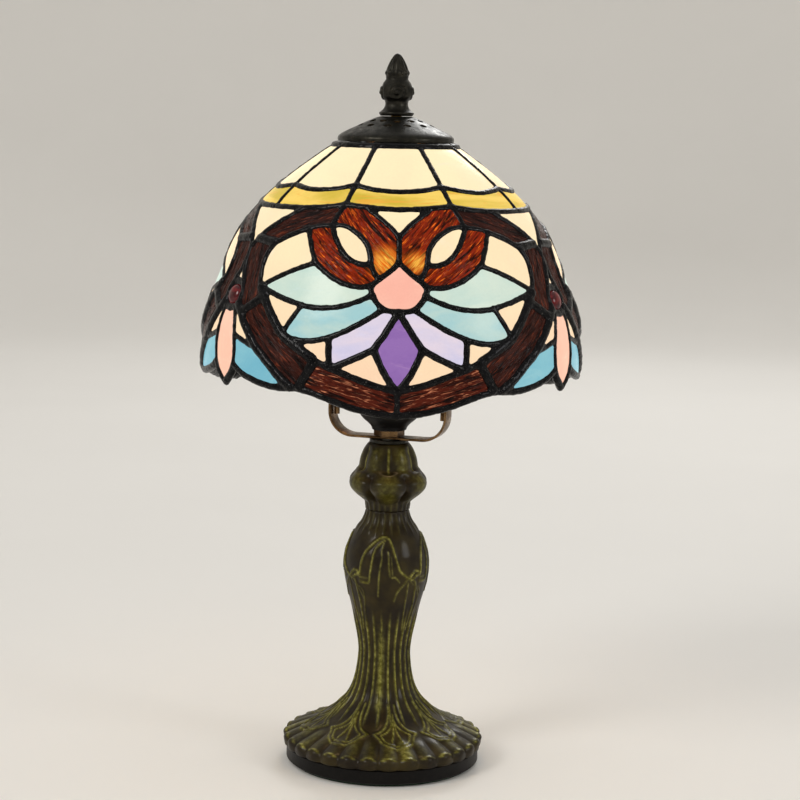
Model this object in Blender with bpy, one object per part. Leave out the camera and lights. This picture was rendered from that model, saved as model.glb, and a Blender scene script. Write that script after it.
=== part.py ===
"""Stained glass table lamp: a leaded glass dome carried by a harp on a cast lily-stem base.

Lengths below are in millimetres and angles in degrees; MM turns them into metres where a mesh is made.
Angles round the lamp are counted from the front (-Y) towards the right (+X).
"""

import math

import bmesh
import bpy
from mathutils import Vector
from mathutils.geometry import delaunay_2d_cdt

MM = 0.001
GAP = 0.35                  # clear space between neighbouring pieces
SECTORS = (0.0, 120.0, 240.0)   # the shade repeats three times
HARP_TURN = -20.0           # the harp's plane is turned this far from the X axis

# Glass dome
LEAD_WIDTH = 2.8            # lead came between two panes
LEAD_THICK = 2.4
GLASS_THICK = 2.0
DOME_PROFILE = (            # radius, height: the dome's mid surface from the cap ring to the lowest point
    (28.5, 339.8), (35.0, 336.8), (43.0, 331.2), (52.0, 324.6), (59.5, 318.4), (66.5, 312.2),
    (72.3, 305.8), (77.4, 299.6), (82.0, 293.0), (86.6, 284.0), (91.2, 272.0), (95.0, 262.5),
    (98.0, 253.5), (100.0, 243.0), (100.7, 232.0), (100.7, 221.0), (99.8, 212.0), (98.6, 204.0),
)
JEWEL_CENTRE = (60.0, 261.8)    # angle, height
JEWEL_RADIUS = 5.4
JEWEL_THICK = 6.0
OUTLINE_STEP = 11.0         # longest straight run along an outline
SHEET_STEP = 18.0           # spacing of the points inside a pane

# Stem and base
TUBE_RADIUS = 4.8
TUBE_BORE = 3.5
BORE = TUBE_RADIUS + GAP
PLINTH_RADIUS = 53.2
PLINTH_BOTTOM = 1.6
CASTING_BOTTOM = 9.6
CASTING_TOP = 141.7
KNOB_BOTTOM = 142.05
KNOB_TOP = 178.3
KNOB_LOBES = 6
WASHER_TOP = 180.1
CORD_HEIGHT = 5.4
CORD_HOLE = 3.3

# Harp, socket and bulb
SADDLE_REACH = 33.0
SADDLE_WIDTH = 11.0
SADDLE_THICK = 1.3
SADDLE_BEND = 13.0
SADDLE_HEIGHT = 181.1       # middle of the strip
SADDLE_TOP = 206.0
HARP_WIRE = 1.6
SOCKET_RADIUS = 16.4
BULB_RADIUS = 30.0
STUD_RADIUS = 2.9
CAP_CENTRE_Z = 353.2        # underside of the cap at its hole
VENT_COUNT = 12
VENT_RADIUS = 1.8
FINIAL_BOTTOM = 355.95
LAMP_TOP = 388.0

# Lead lines that bound the glass zones, as (angle, height), for the right half of one sector
BAND_BOTTOM_FRONT = ((0.0, 307.6), (11.0, 308.3), (22.6, 309.4))
BAND_BOTTOM_SIDE = ((31.0, 307.8), (41.0, 307.0), (50.0, 306.7), (60.0, 306.7))
BAND_TOP_FRONT = ((0.0, 316.0), (11.0, 316.8), (21.5, 318.8))
BAND_TOP_SIDE = ((31.0, 316.6), (41.0, 315.8), (50.0, 316.4), (60.0, 317.8))
PANE_TOP = 337.6
RING_OUTSIDE = (
    (41.0, 307.0), (49.0, 300.2), (54.5, 294.5), (57.8, 290.3), (60.0, 285.8), (60.0, 280.5),
    (58.9, 275.0), (57.4, 268.8), (55.8, 263.5), (56.0, 258.6),
)
RING_FLANK = ((53.0, 253.0), (49.0, 245.3), (44.3, 236.7), (39.8, 230.5), (35.0, 223.0), (31.3, 218.7))
HEART_EDGE = (
    (29.0, 218.8), (24.0, 233.9), (19.6, 230.1), (19.9, 244.6), (16.0, 248.0), (9.5, 254.0),
    (4.9, 260.0), (8.0, 266.6), (8.5, 270.8), (6.3, 274.2), (10.0, 281.2), (14.5, 281.9),
    (18.8, 285.5), (22.0, 291.5), (25.0, 298.8),
)
POINT_EDGE = ((0.0, 207.3), (7.0, 208.6), (15.0, 211.8), (24.0, 216.9))
FAN_TOP = ((57.3, 255.9),)
FAN_RIM = (
    (60.0, 216.8), (56.6, 222.0), (54.8, 227.2), (51.0, 223.3), (46.0, 220.7), (40.0, 218.7), (35.0, 218.3),
)


def clear_scene():
    for obj in list(bpy.data.objects):
        bpy.data.objects.remove(obj, do_unlink=True)


def material(name, colour, roughness, metallic=0.0, alpha=1.0):
    made = bpy.data.materials.new(name)
    made.use_nodes = True
    shader = made.node_tree.nodes["Principled BSDF"]
    shader.inputs["Base Color"].default_value = (*colour, 1.0)
    shader.inputs["Roughness"].default_value = roughness
    shader.inputs["Metallic"].default_value = metallic
    shader.inputs["Alpha"].default_value = alpha
    return made


def make_empty(name, height):
    empty = bpy.data.objects.new(name, None)
    empty.location = (0.0, 0.0, height * MM)
    bpy.context.scene.collection.objects.link(empty)
    return empty


def make_object(name, mesh_builder, finish, parent=None):
    """Turns a bmesh in world millimetres into an object, hung on its joint's empty if it has one."""
    origin = parent.location.z if parent else 0.0
    bmesh.ops.scale(mesh_builder, vec=(MM, MM, MM), verts=mesh_builder.verts)
    bmesh.ops.translate(mesh_builder, vec=(0.0, 0.0, -origin), verts=mesh_builder.verts)
    mesh = bpy.data.meshes.new(name)
    mesh_builder.to_mesh(mesh)
    mesh_builder.free()
    mesh.shade_smooth()
    mesh.set_sharp_from_angle(angle=math.radians(40.0))
    mesh.materials.append(finish)
    obj = bpy.data.objects.new(name, mesh)
    obj.parent = parent
    bpy.context.scene.collection.objects.link(obj)
    return obj


# ---------------------------------------------------------------- turned pieces

def turned(section, steps, shape=None):
    """Spins a closed (radius, height) section once round Z; shape(angle, r, z) may change the radius."""
    bm = bmesh.new()
    verts = [bm.verts.new((radius, 0.0, height)) for radius, height in section]
    edges = [bm.edges.new(pair) for pair in zip(verts, verts[1:] + verts[:1])
             if pair[0].co.x > 0.0 or pair[1].co.x > 0.0]
    bmesh.ops.spin(bm, geom=verts + edges, cent=(0, 0, 0), axis=(0, 0, 1), dvec=(0, 0, 0),
                   angle=math.tau, steps=steps, use_merge=True, use_duplicate=False)
    bmesh.ops.remove_doubles(bm, verts=bm.verts, dist=1e-4)
    if shape:
        for vert in bm.verts:
            reshape(vert, shape)
    bmesh.ops.recalc_face_normals(bm, faces=bm.faces)
    return bm


def reshape(vert, shape):
    radius = math.hypot(vert.co.x, vert.co.y)
    if radius > 0.0:
        factor = shape(math.atan2(vert.co.x, -vert.co.y), radius, vert.co.z) / radius
        vert.co.x *= factor
        vert.co.y *= factor


def ring_section(inner, outer, low, high):
    return [(inner, high), (outer, high), (outer, low), (inner, low)]


def drill(obj, cutter_mesh, name):
    """Cuts a hole with a hidden cutter."""
    bmesh.ops.scale(cutter_mesh, vec=(MM, MM, MM), verts=cutter_mesh.verts)
    mesh = bpy.data.meshes.new(name)
    cutter_mesh.to_mesh(mesh)
    cutter_mesh.free()
    cutter = bpy.data.objects.new(name, mesh)
    cutter.hide_render = True
    cutter.display_type = "WIRE"
    cutter.parent = obj.parent
    if obj.parent:
        cutter.matrix_parent_inverse.translation = (0.0, 0.0, -obj.parent.location.z)
    bpy.context.scene.collection.objects.link(cutter)
    cut = obj.modifiers.new(name, "BOOLEAN")
    cut.operation = "DIFFERENCE"
    cut.solver = "EXACT"
    cut.object = cutter


def rod(bm, centre, direction, radius, length, segments=12):
    """Adds a closed cylinder, centred, along direction."""
    turn = Vector((0, 0, 1)).rotation_difference(Vector(direction)).to_matrix().to_4x4()
    turn.translation = Vector(centre)
    bmesh.ops.create_cone(bm, cap_ends=True, segments=segments, radius1=radius, radius2=radius,
                          depth=length, matrix=turn)


# ---------------------------------------------------------------- dome surface

def smooth_line(points, parts):
    """Points on a Catmull-Rom curve through the given points."""
    ends = [points[0]] + list(points) + [points[-1]]
    line = []
    for before, start, stop, after in zip(ends, ends[1:], ends[2:], ends[3:]):
        for step in range(parts):
            t = step / parts
            line.append(tuple(
                0.5 * (2 * b + (c - a) * t + (2 * a - 5 * b + 4 * c - d) * t * t + (3 * b - a - 3 * c + d) * t ** 3)
                for a, b, c, d in zip(before, start, stop, after)))
    return line + [tuple(points[-1])]


class Dome:
    """The dome's mid surface, addressed by angle and by distance down the slope."""

    def __init__(self, profile):
        self.line = smooth_line(profile, 6)
        self.slope = [0.0]
        for start, stop in zip(self.line, self.line[1:]):
            self.slope.append(self.slope[-1] + math.dist(start, stop))

    def slope_at(self, height):
        """Distance down the slope at which the surface reaches a height."""
        for index, (start, stop) in enumerate(zip(self.line, self.line[1:])):
            if height >= stop[1]:
                break
        part = (start[1] - height) / (start[1] - stop[1])
        return self.slope[index] + part * (self.slope[index + 1] - self.slope[index])

    def section_at(self, slope):
        """Radius and height at a distance down the slope."""
        for index in range(len(self.slope) - 2):
            if slope <= self.slope[index + 1]:
                break
        part = (slope - self.slope[index]) / (self.slope[index + 1] - self.slope[index])
        start, stop = self.line[index], self.line[index + 1]
        return tuple(a + part * (b - a) for a, b in zip(start, stop))

    def point(self, angle, slope):
        radius, height = self.section_at(slope)
        turn = math.radians(angle)
        return Vector((radius * math.sin(turn), -radius * math.cos(turn), height))


DOME = Dome(DOME_PROFILE)


def on_slope(points):
    """(angle, height) points as (angle, distance down the slope)."""
    return [(angle, DOME.slope_at(height)) for angle, height in points]


def mirrored(points, about=0.0):
    return [(2.0 * about - angle, height) for angle, height in reversed(points)]


def signed_area(points):
    return 0.5 * sum(a[0] * b[1] - b[0] * a[1] for a, b in zip(points, points[1:] + points[:1]))


def inset(outline, distance):
    """Moves a slope outline inwards, corner by corner, in real distances."""
    side = 1.0 if signed_area(outline) > 0.0 else -1.0
    moved = []
    for before, here, after in zip(outline[-1:] + outline[:-1], outline, outline[1:] + outline[:1]):
        scale = math.radians(DOME.section_at(here[1])[0])
        come = Vector(((here[0] - before[0]) * scale, here[1] - before[1])).normalized()
        leave = Vector(((after[0] - here[0]) * scale, after[1] - here[1])).normalized()
        normal = Vector((-(come.y + leave.y), come.x + leave.x)).normalized() * side
        edge = Vector((-come.y, come.x)) * side
        reach = min(distance / max(normal.dot(edge), 0.01), 4.0 * distance)
        moved.append((here[0] + normal.x * reach / scale, here[1] + normal.y * reach))
    return moved


def densified(outline):
    """Adds points so that no run along an outline is longer than OUTLINE_STEP."""
    dense = []
    for start, stop in zip(outline, outline[1:] + outline[:1]):
        scale = math.radians(DOME.section_at(0.5 * (start[1] + stop[1]))[0])
        length = math.hypot((stop[0] - start[0]) * scale, stop[1] - start[1])
        parts = max(1, math.ceil(length / OUTLINE_STEP))
        dense += [tuple(a + (b - a) * step / parts for a, b in zip(start, stop)) for step in range(parts)]
    return dense


HUB = DOME_PROFILE[0][0]    # radius of the flat map at the top of the slope


def flat(point):
    """The flat map of the dome, on which triangles are laid out."""
    turn = math.radians(point[0])
    reach = point[1] + HUB
    return Vector((reach * math.sin(turn), -reach * math.cos(turn)))


def unflat(spot):
    return math.degrees(math.atan2(spot.x, -spot.y)), spot.length - HUB


def inside(spot, loop):
    """Whether a flat-map spot lies inside a closed loop."""
    found = False
    for a, b in zip(loop, loop[1:] + loop[:1]):
        if (a.y > spot.y) != (b.y > spot.y):
            if spot.x < a.x + (b.x - a.x) * (spot.y - a.y) / (b.y - a.y):
                found = not found
    return found


def edge_distance(spot, loop):
    nearest = math.inf
    for a, b in zip(loop, loop[1:] + loop[:1]):
        run = b - a
        part = min(max((spot - a).dot(run) / run.length_squared, 0.0), 1.0)
        nearest = min(nearest, (spot - a - run * part).length)
    return nearest


def sheet_mesh(outer, holes, spots=()):
    """A one-layer mesh on the dome that fills the outer loop around the holes."""
    loops = [[flat(point) for point in loop] for loop in [outer, *holes]]
    spots = list(spots)
    verts, edges = list(spots), []
    for loop in loops:
        first = len(verts)
        edges += [(first + i, first + (i + 1) % len(loop)) for i in range(len(loop))]
        verts += loop
    found, _, faces, _, _, _ = delaunay_2d_cdt(verts, edges, [], 0, 1e-5)
    bm = bmesh.new()
    made = [bm.verts.new(DOME.point(*unflat(spot))) for spot in found]
    for face in faces:
        centre = sum((found[i] for i in face), Vector((0, 0))) / len(face)
        if inside(centre, loops[0]) and not any(inside(centre, loop) for loop in loops[1:]):
            bm.faces.new([made[i] for i in face])
    bmesh.ops.delete(bm, geom=[vert for vert in bm.verts if not vert.link_faces], context="VERTS")
    for face in bm.faces:
        face.normal_update()
        if face.normal.dot(face.calc_center_median() - Vector((0, 0, 230.0))) < 0.0:
            face.normal_flip()
    return bm


def inner_spots(outline):
    """Evenly spread flat-map spots well inside a pane."""
    loop = [flat(point) for point in outline]
    low = [min(spot[i] for spot in loop) for i in (0, 1)]
    high = [max(spot[i] for spot in loop) for i in (0, 1)]
    counts = [int((high[i] - low[i]) / SHEET_STEP) for i in (0, 1)]
    spots = []
    for row in range(1, counts[0] + 1):
        for column in range(1, counts[1] + 1):
            spot = Vector((low[0] + (high[0] - low[0]) * row / (counts[0] + 1),
                           low[1] + (high[1] - low[1]) * column / (counts[1] + 1)))
            if inside(spot, loop) and edge_distance(spot, loop) > 0.4 * SHEET_STEP:
                spots.append(spot)
    return spots


def thicken(obj, thickness):
    solid = obj.modifiers.new("thickness", "SOLIDIFY")
    solid.thickness = thickness * MM
    solid.offset = 0.0


# ---------------------------------------------------------------- shade

def turned_by(points, angle):
    return [(point[0] + angle, point[1]) for point in points]


def zone_outlines():
    """Lead-line outlines of every glass zone in the sector that faces the front."""
    band_top = list(BAND_TOP_FRONT) + list(BAND_TOP_SIDE)
    band_bottom = list(BAND_BOTTOM_FRONT) + list(BAND_BOTTOM_SIDE)
    top_front = [(0.0, PANE_TOP), (10.0, PANE_TOP), (20.0, PANE_TOP)]
    top_side = [(20.0, PANE_TOP), (33.0, PANE_TOP), (47.0, PANE_TOP), (60.0, PANE_TOP)]
    zones = {
        "top_pane_front": mirrored(top_front)[:-1] + top_front + list(BAND_TOP_FRONT)[::-1]
        + mirrored(BAND_TOP_FRONT)[::-1][1:],
        "top_pane_right": top_side + band_top[:1:-1],
        "band_pane_front": mirrored(BAND_TOP_FRONT)[:-1] + list(BAND_TOP_FRONT)
        + list(BAND_BOTTOM_FRONT)[::-1] + mirrored(BAND_BOTTOM_FRONT)[::-1][1:],
        "band_pane_right": band_top[2:] + band_bottom[:1:-1],
        "medallion_right": [BAND_BOTTOM_FRONT[2], BAND_BOTTOM_SIDE[0]] + list(RING_OUTSIDE)
        + list(RING_FLANK) + list(HEART_EDGE),
        "medallion_heart": mirrored(BAND_BOTTOM_FRONT)[:-1] + list(BAND_BOTTOM_FRONT)
        + list(HEART_EDGE)[::-1] + list(POINT_EDGE)[::-1] + mirrored(POINT_EDGE)[::-1][1:]
        + mirrored(HEART_EDGE)[::-1],
        "gable_pane": list(BAND_BOTTOM_SIDE)[1:] + mirrored(BAND_BOTTOM_SIDE[1:-1], 60.0)
        + mirrored(RING_OUTSIDE[1:5], 60.0)[::-1] + list(RING_OUTSIDE)[3:0:-1],
        "fan_pane": [RING_OUTSIDE[-1]] + list(FAN_TOP) + mirrored(FAN_TOP, 60.0)
        + mirrored([RING_OUTSIDE[-1]], 60.0) + mirrored(RING_FLANK, 60.0)[::-1]
        + mirrored(FAN_RIM[1:], 60.0) + list(FAN_RIM) + list(RING_FLANK)[::-1],
    }
    for name, twin in (("top_pane_right", "top_pane_left"), ("band_pane_right", "band_pane_left"),
                       ("medallion_right", "medallion_left")):
        zones[twin] = mirrored(zones[name])
    return {name: without_repeats(outline) for name, outline in zones.items()}


def without_repeats(outline):
    return [here for here, after in zip(outline, outline[1:] + outline[:1]) if math.dist(here, after) > 0.01]


def jewel_outline(radius):
    angle, slope = JEWEL_CENTRE[0], DOME.slope_at(JEWEL_CENTRE[1])
    scale = math.radians(DOME.section_at(slope)[0])
    return [(angle + radius * math.cos(turn) / scale, slope + radius * math.sin(turn))
            for turn in (math.tau * step / 16 for step in range(16))]


def rim_outline():
    """The lower edge of the whole shade, just outside the lowest lead lines."""
    half = list(POINT_EDGE) + [HEART_EDGE[0], RING_FLANK[-1]] + list(FAN_RIM)[::-1]
    sector = mirrored(half)[1:] + half[1:]
    return [(angle + turn, slope + 0.5 * LEAD_WIDTH)
            for turn in SECTORS for angle, slope in on_slope(sector)]


def build_shade(parent):
    lead = material("lead_came", (0.05, 0.045, 0.04), 0.45, 0.8)
    colours = {
        "top_pane": (0.95, 0.85, 0.65), "band_pane": (0.75, 0.60, 0.15), "medallion": (0.55, 0.60, 0.60),
        "gable_pane": (0.95, 0.80, 0.60), "fan_pane": (0.45, 0.65, 0.70), "jewel": (0.35, 0.02, 0.04),
    }
    zones = {name: on_slope(outline) for name, outline in zone_outlines().items()}
    holes = []
    for number, turn in enumerate(SECTORS, start=1):
        for name, outline in zones.items():
            pane = densified(inset(turned_by(outline, turn), 0.5 * LEAD_WIDTH + GAP))
            holes.append(densified(inset(turned_by(outline, turn), 0.5 * LEAD_WIDTH)))
            colour = next(value for key, value in colours.items() if name.startswith(key))
            glass = material(f"{name}_{number}_glass", colour, 0.25, 0.0, 0.8)
            obj = make_object(f"{name}_{number}", sheet_mesh(pane, [], inner_spots(pane)), glass, parent)
            thicken(obj, GLASS_THICK)
        holes.append(turned_by(jewel_outline(JEWEL_RADIUS + GAP), turn))
        jewel = turned_by(jewel_outline(JEWEL_RADIUS), turn)
        centre = flat((JEWEL_CENTRE[0] + turn, DOME.slope_at(JEWEL_CENTRE[1])))
        glass = material(f"jewel_{number}_glass", colours["jewel"], 0.08)
        thicken(make_object(f"jewel_{number}", sheet_mesh(jewel, [], [centre]), glass, parent), JEWEL_THICK)
    top = [(360.0 * step / 36, 0.0) for step in range(36)]
    thicken(make_object("shade_leading", sheet_mesh(rim_outline(), [top, *holes]), lead, parent), LEAD_THICK)


def build_cap(parent):
    metal = material("cap_metal", (0.07, 0.065, 0.05), 0.4, 0.9)
    outside = [(3.4, 354.5), (8.8, 354.5), (12.8, 353.5), (19.4, 350.5), (25.8, 347.2), (29.4, 344.3),
               (30.8, 342.6), (30.8, 341.3)]
    under = [(29.5, 341.3), (29.4, 342.6), (28.2, 343.7), (25.0, 346.1), (18.8, 349.2), (12.4, 352.2),
             (8.6, CAP_CENTRE_Z), (3.4, CAP_CENTRE_Z)]
    cap = make_object("shade_cap", turned(outside + under, 32), metal, parent)
    cutters = bmesh.new()
    for step in range(VENT_COUNT):
        turn = math.tau * step / VENT_COUNT
        centre = (19.5 * math.sin(turn), -19.5 * math.cos(turn), 349.8)
        rod(cutters, centre, (0.45 * math.sin(turn), -0.45 * math.cos(turn), 0.9), VENT_RADIUS, 8.0, 6)
    drill(cap, cutters, "vent_cutter")


def build_finial(parent):
    metal = material("finial_metal", (0.09, 0.085, 0.05), 0.38, 0.9)
    brass = material("finial_bush_metal", (0.60, 0.45, 0.20), 0.3, 1.0)
    outside = [(0.0, LAMP_TOP), (1.6, 387.3), (3.4, 385.0), (4.9, 382.2), (5.9, 379.6), (6.1, 377.0),
               (5.6, 374.6), (7.0, 372.6), (8.4, 370.0), (8.7, 367.5), (8.3, 365.0), (6.4, 363.0),
               (6.1, 361.4), (6.5, 359.6), (8.6, 357.4), (8.5, FINIAL_BOTTOM)]
    bore = [(4.9, FINIAL_BOTTOM), (4.9, 368.3), (0.0, 368.3)]
    make_object("finial", turned(outside + bore, 18), metal, parent)
    bush = ring_section(STUD_RADIUS + GAP, 4.55, FINIAL_BOTTOM + 0.4, 367.9)
    make_object("finial_bush", turned(bush, 20), brass, parent)


# ---------------------------------------------------------------- base and stem

def knob_shape(angle, radius, height):
    """Two tiers of lobes, the upper one turned half a lobe from the lower one."""
    if radius <= BORE + 0.1:
        return radius
    if height < 163.5:
        swell = math.sin(math.pi * min(max((height - 145.0) / 18.5, 0.0), 1.0))
        wave = abs(math.cos(0.5 * KNOB_LOBES * angle))
    else:
        swell = math.sin(math.pi * min(max((height - 163.0) / 15.0, 0.0), 1.0))
        wave = abs(math.sin(0.5 * KNOB_LOBES * angle))
    return radius * (1.0 - 0.12 * swell * (1.0 - wave))


def build_base():
    bronze = material("base_bronze", (0.10, 0.085, 0.035), 0.35, 0.85)
    knob_bronze = material("knob_bronze", (0.10, 0.08, 0.035), 0.35, 0.85)
    black = material("plinth_black", (0.02, 0.02, 0.02), 0.5, 0.3)
    outside = [(BORE, CASTING_TOP), (11.6, CASTING_TOP), (12.2, 138.5), (14.9, 133.0), (19.0, 127.0),
               (22.0, 119.5), (23.3, 111.0), (22.6, 102.5), (19.4, 90.0), (16.2, 79.0), (14.1, 69.0),
               (13.5, 62.0), (14.2, 53.0), (16.8, 42.0), (21.0, 34.8), (28.0, 28.4), (38.0, 22.0),
               (52.0, 15.6), (54.3, 13.8), (54.6, 11.6), (54.0, CASTING_BOTTOM)]
    hollow = [(49.5, CASTING_BOTTOM), (49.5, 12.2), (44.0, 15.2), (29.0, 23.3), (17.0, 35.0), (11.2, 50.0),
              (10.5, 68.0), (18.0, 97.0), (19.6, 108.0), (16.0, 122.0), (BORE, 134.0)]
    make_object("base_casting", turned(outside + hollow, 40), bronze)
    knob = [(BORE, KNOB_TOP), (10.9, KNOB_TOP), (12.4, 177.4), (15.0, 175.3), (16.8, 172.0), (17.2, 168.6),
            (16.4, 165.4), (16.6, 163.2), (19.6, 161.4), (21.6, 158.8), (22.0, 156.0), (21.2, 152.8),
            (18.6, 150.0), (15.2, 147.4), (12.4, 144.8), (11.8, KNOB_BOTTOM), (BORE, KNOB_BOTTOM)]
    make_object("knob_casting", turned(knob, 36, knob_shape), knob_bronze)
    felt = material("felt_green", (0.03, 0.06, 0.04), 0.95)
    make_object("felt_pad", turned(ring_section(12.0, 50.5, 0.0, 1.2), 32), felt)
    plinth = make_object("plinth_ring", turned(ring_section(44.0, PLINTH_RADIUS, PLINTH_BOTTOM, 9.25), 40), black)
    cutter = bmesh.new()
    rod(cutter, (0.0, 49.0, CORD_HEIGHT), (0, 1, 0), CORD_HOLE + GAP, 20.0, 16)
    drill(plinth, cutter, "cord_hole_cutter")
    build_bushing()


def build_bushing():
    """The flanged cord bushing that lies along Y in the back of the plinth."""
    plastic = material("bushing_plastic", (0.03, 0.03, 0.03), 0.4)
    section = [(2.2, 11.0), (CORD_HOLE, 11.0), (CORD_HOLE, 1.0), (3.75, 1.0), (3.75, 0.0), (2.2, 0.0)]
    bm = turned(section, 16)
    bmesh.ops.rotate(bm, cent=(0, 0, 0), matrix=Vector((0, 0, 1)).rotation_difference(Vector((0, -1, 0))).to_matrix(),
                     verts=bm.verts)
    bmesh.ops.translate(bm, vec=(0.0, PLINTH_RADIUS + 1.4, CORD_HEIGHT), verts=bm.verts)
    make_object("cord_bushing", bm, plastic)


def build_stem_hardware():
    iron = material("ballast_iron", (0.12, 0.12, 0.12), 0.7, 0.6)
    steel = material("tube_steel", (0.5, 0.48, 0.42), 0.35, 1.0)
    nut_steel = material("nut_steel", (0.5, 0.5, 0.5), 0.4, 1.0)
    brass = material("stem_washer_brass", (0.35, 0.26, 0.12), 0.35, 1.0)
    make_object("ballast_plate", turned(ring_section(BORE, 43.0, 8.6, 14.4), 32), iron)
    make_object("threaded_tube", turned(ring_section(TUBE_BORE, TUBE_RADIUS, 2.4, 191.0), 20), steel)
    make_object("base_nut", turned(ring_section(6.0, 9.0, 3.0, 8.2), 6), nut_steel)
    make_object("stem_washer", turned(ring_section(BORE, 10.6, KNOB_TOP + GAP, WASHER_TOP), 20), brass)


# ---------------------------------------------------------------- harp, socket and bulb

def saddle_outline():
    """The bent strip seen from the front: outer line, then inner line back."""
    lines = []
    for shift in (-0.5 * SADDLE_THICK, 0.5 * SADDLE_THICK):
        bend = SADDLE_BEND - shift
        centre = (SADDLE_REACH - SADDLE_BEND, SADDLE_HEIGHT + SADDLE_BEND)
        half = [(0.0, SADDLE_HEIGHT + shift)]
        half += [(centre[0] + bend * math.sin(turn), centre[1] - bend * math.cos(turn))
                 for turn in (0.5 * math.pi * step / 5 for step in range(6))]
        half.append((centre[0] + bend, SADDLE_TOP))
        lines.append([(-x, z) for x, z in half[:0:-1]] + half)
    return lines[0] + lines[1][::-1]


def turn_harp(bm):
    spin = math.radians(HARP_TURN)
    for vert in bm.verts:
        x, y = vert.co.x, vert.co.y
        vert.co.x = x * math.cos(spin) - y * math.sin(spin)
        vert.co.y = x * math.sin(spin) + y * math.cos(spin)


def build_harp():
    strip = material("saddle_brass", (0.45, 0.30, 0.14), 0.35, 1.0)
    wire = material("harp_brass", (0.50, 0.36, 0.16), 0.32, 1.0)
    stud_brass = material("stud_brass", (0.60, 0.45, 0.20), 0.3, 1.0)
    bm = bmesh.new()
    face = bm.faces.new([bm.verts.new((x, -0.5 * SADDLE_WIDTH, z)) for x, z in saddle_outline()])
    pushed = bmesh.ops.extrude_face_region(bm, geom=[face])["geom"]
    bmesh.ops.translate(bm, vec=(0.0, SADDLE_WIDTH, 0.0),
                        verts=[item for item in pushed if isinstance(item, bmesh.types.BMVert)])
    bmesh.ops.recalc_face_normals(bm, faces=bm.faces)
    turn_harp(bm)
    saddle = make_object("harp_saddle", bm, strip)
    cutter = bmesh.new()
    rod(cutter, (0.0, 0.0, SADDLE_HEIGHT), (0, 0, 1), BORE, 10.0, 20)
    drill(saddle, cutter, "saddle_hole_cutter")
    build_harp_bow(wire)
    stud = [(0.0, 364.0), (STUD_RADIUS, 364.0), (STUD_RADIUS, 352.85), (4.4, 352.85), (4.4, 350.95), (0.0, 350.95)]
    make_object("harp_stud", turned(stud, 20), stud_brass)


def build_harp_bow(finish):
    """The bow: one wire up each side, closing under the cap."""
    half = [(30.4, 192.0), (30.6, 206.0), (34.2, 217.0), (38.6, 234.0), (40.5, 256.0), (40.3, 276.0),
            (37.0, 297.0), (29.5, 318.0), (19.0, 336.0), (9.0, 346.2), (0.0, 349.0)]
    route = smooth_line(half + [(-x, z) for x, z in half[-2::-1]], 1)
    turn = math.radians(HARP_TURN)
    curve = bpy.data.curves.new("harp_bow", "CURVE")
    curve.dimensions = "3D"
    spline = curve.splines.new("POLY")
    spline.points.add(len(route) - 1)
    for point, (x, z) in zip(spline.points, route):
        point.co = (x * math.cos(turn) * MM, x * math.sin(turn) * MM, z * MM, 1.0)
    curve.bevel_depth = HARP_WIRE * MM
    curve.bevel_resolution = 2
    curve.use_fill_caps = True
    curve.materials.append(finish)
    bpy.context.scene.collection.objects.link(bpy.data.objects.new("harp_bow", curve))


def build_socket():
    black = material("socket_cap_black", (0.02, 0.02, 0.02), 0.35, 0.6)
    brass = material("socket_shell_brass", (0.55, 0.40, 0.18), 0.35, 1.0)
    porcelain = material("socket_porcelain", (0.85, 0.83, 0.78), 0.3)
    screw = material("screw_shell_metal", (0.7, 0.68, 0.6), 0.3, 1.0)
    contact = material("contact_brass", (0.6, 0.45, 0.2), 0.3, 1.0)
    nut = material("socket_nut_brass", (0.40, 0.30, 0.14), 0.35, 1.0)
    make_object("socket_nut", turned(ring_section(6.0, 8.4, 182.1, 185.1), 6), nut)
    cup = [(SOCKET_RADIUS, 201.0), (SOCKET_RADIUS, 194.0), (15.3, 189.6), (12.5, 186.8), (8.4, 185.5), (BORE, 185.5),
           (BORE, 186.6), (8.0, 186.6), (11.9, 187.9), (14.4, 190.3), (15.6, 194.2), (15.6, 201.0)]
    make_object("socket_cap", turned(cup, 24), black)
    make_object("socket_shell", turned(ring_section(14.7, 15.25, 194.6, 234.0), 24), brass)
    core = [(14.35, 232.0), (14.35, 193.2), (6.0, 193.2), (6.0, 198.0), (13.75, 198.0), (13.75, 232.0)]
    make_object("socket_core", turned(core, 24), porcelain)
    make_object("screw_shell", turned(ring_section(13.05, 13.4, 198.4, 230.5), 24), screw)
    tab = [(0.0, 200.3), (3.0, 200.3), (3.0, 198.4), (5.0, 197.0), (5.0, 196.2), (0.0, 196.2)]
    make_object("centre_contact", turned(tab, 12), contact)


def build_bulb(parent):
    glass = material("bulb_glass", (1.0, 0.9, 0.75), 0.2, 0.0, 0.6)
    metal = material("bulb_cap_metal", (0.75, 0.75, 0.72), 0.25, 1.0)
    cap = [(0.0, 227.8), (12.7, 227.8), (12.7, 207.0), (9.5, 203.0), (4.5, 200.9), (0.0, 200.9)]
    make_object("bulb_cap", turned(cap, 20), metal, parent)
    outside = [(0.0, 314.0), (9.0, 312.7), (18.0, 308.4), (25.4, 300.8), (29.4, 291.0), (BULB_RADIUS, 282.0),
               (28.2, 271.5), (23.6, 260.5), (18.0, 249.5), (14.2, 240.0), (12.6, 232.0), (12.6, 228.2)]
    hollow = [(max(radius - 1.0, 0.0), height - (1.0 if height > 280.0 else 0.0)) for radius, height in outside]
    make_object("bulb_glass", turned(outside + hollow[::-1], 20), glass, parent)


def main():
    clear_scene()
    shade_axis = make_empty("shade_axis", 352.0)
    finial_axis = make_empty("finial_axis", FINIAL_BOTTOM)
    bulb_axis = make_empty("bulb_axis", 228.0)
    build_shade(shade_axis)
    build_cap(shade_axis)
    build_finial(finial_axis)
    build_base()
    build_stem_hardware()
    build_harp()
    build_socket()
    build_bulb(bulb_axis)
    bpy.context.view_layer.update()


main()
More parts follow.
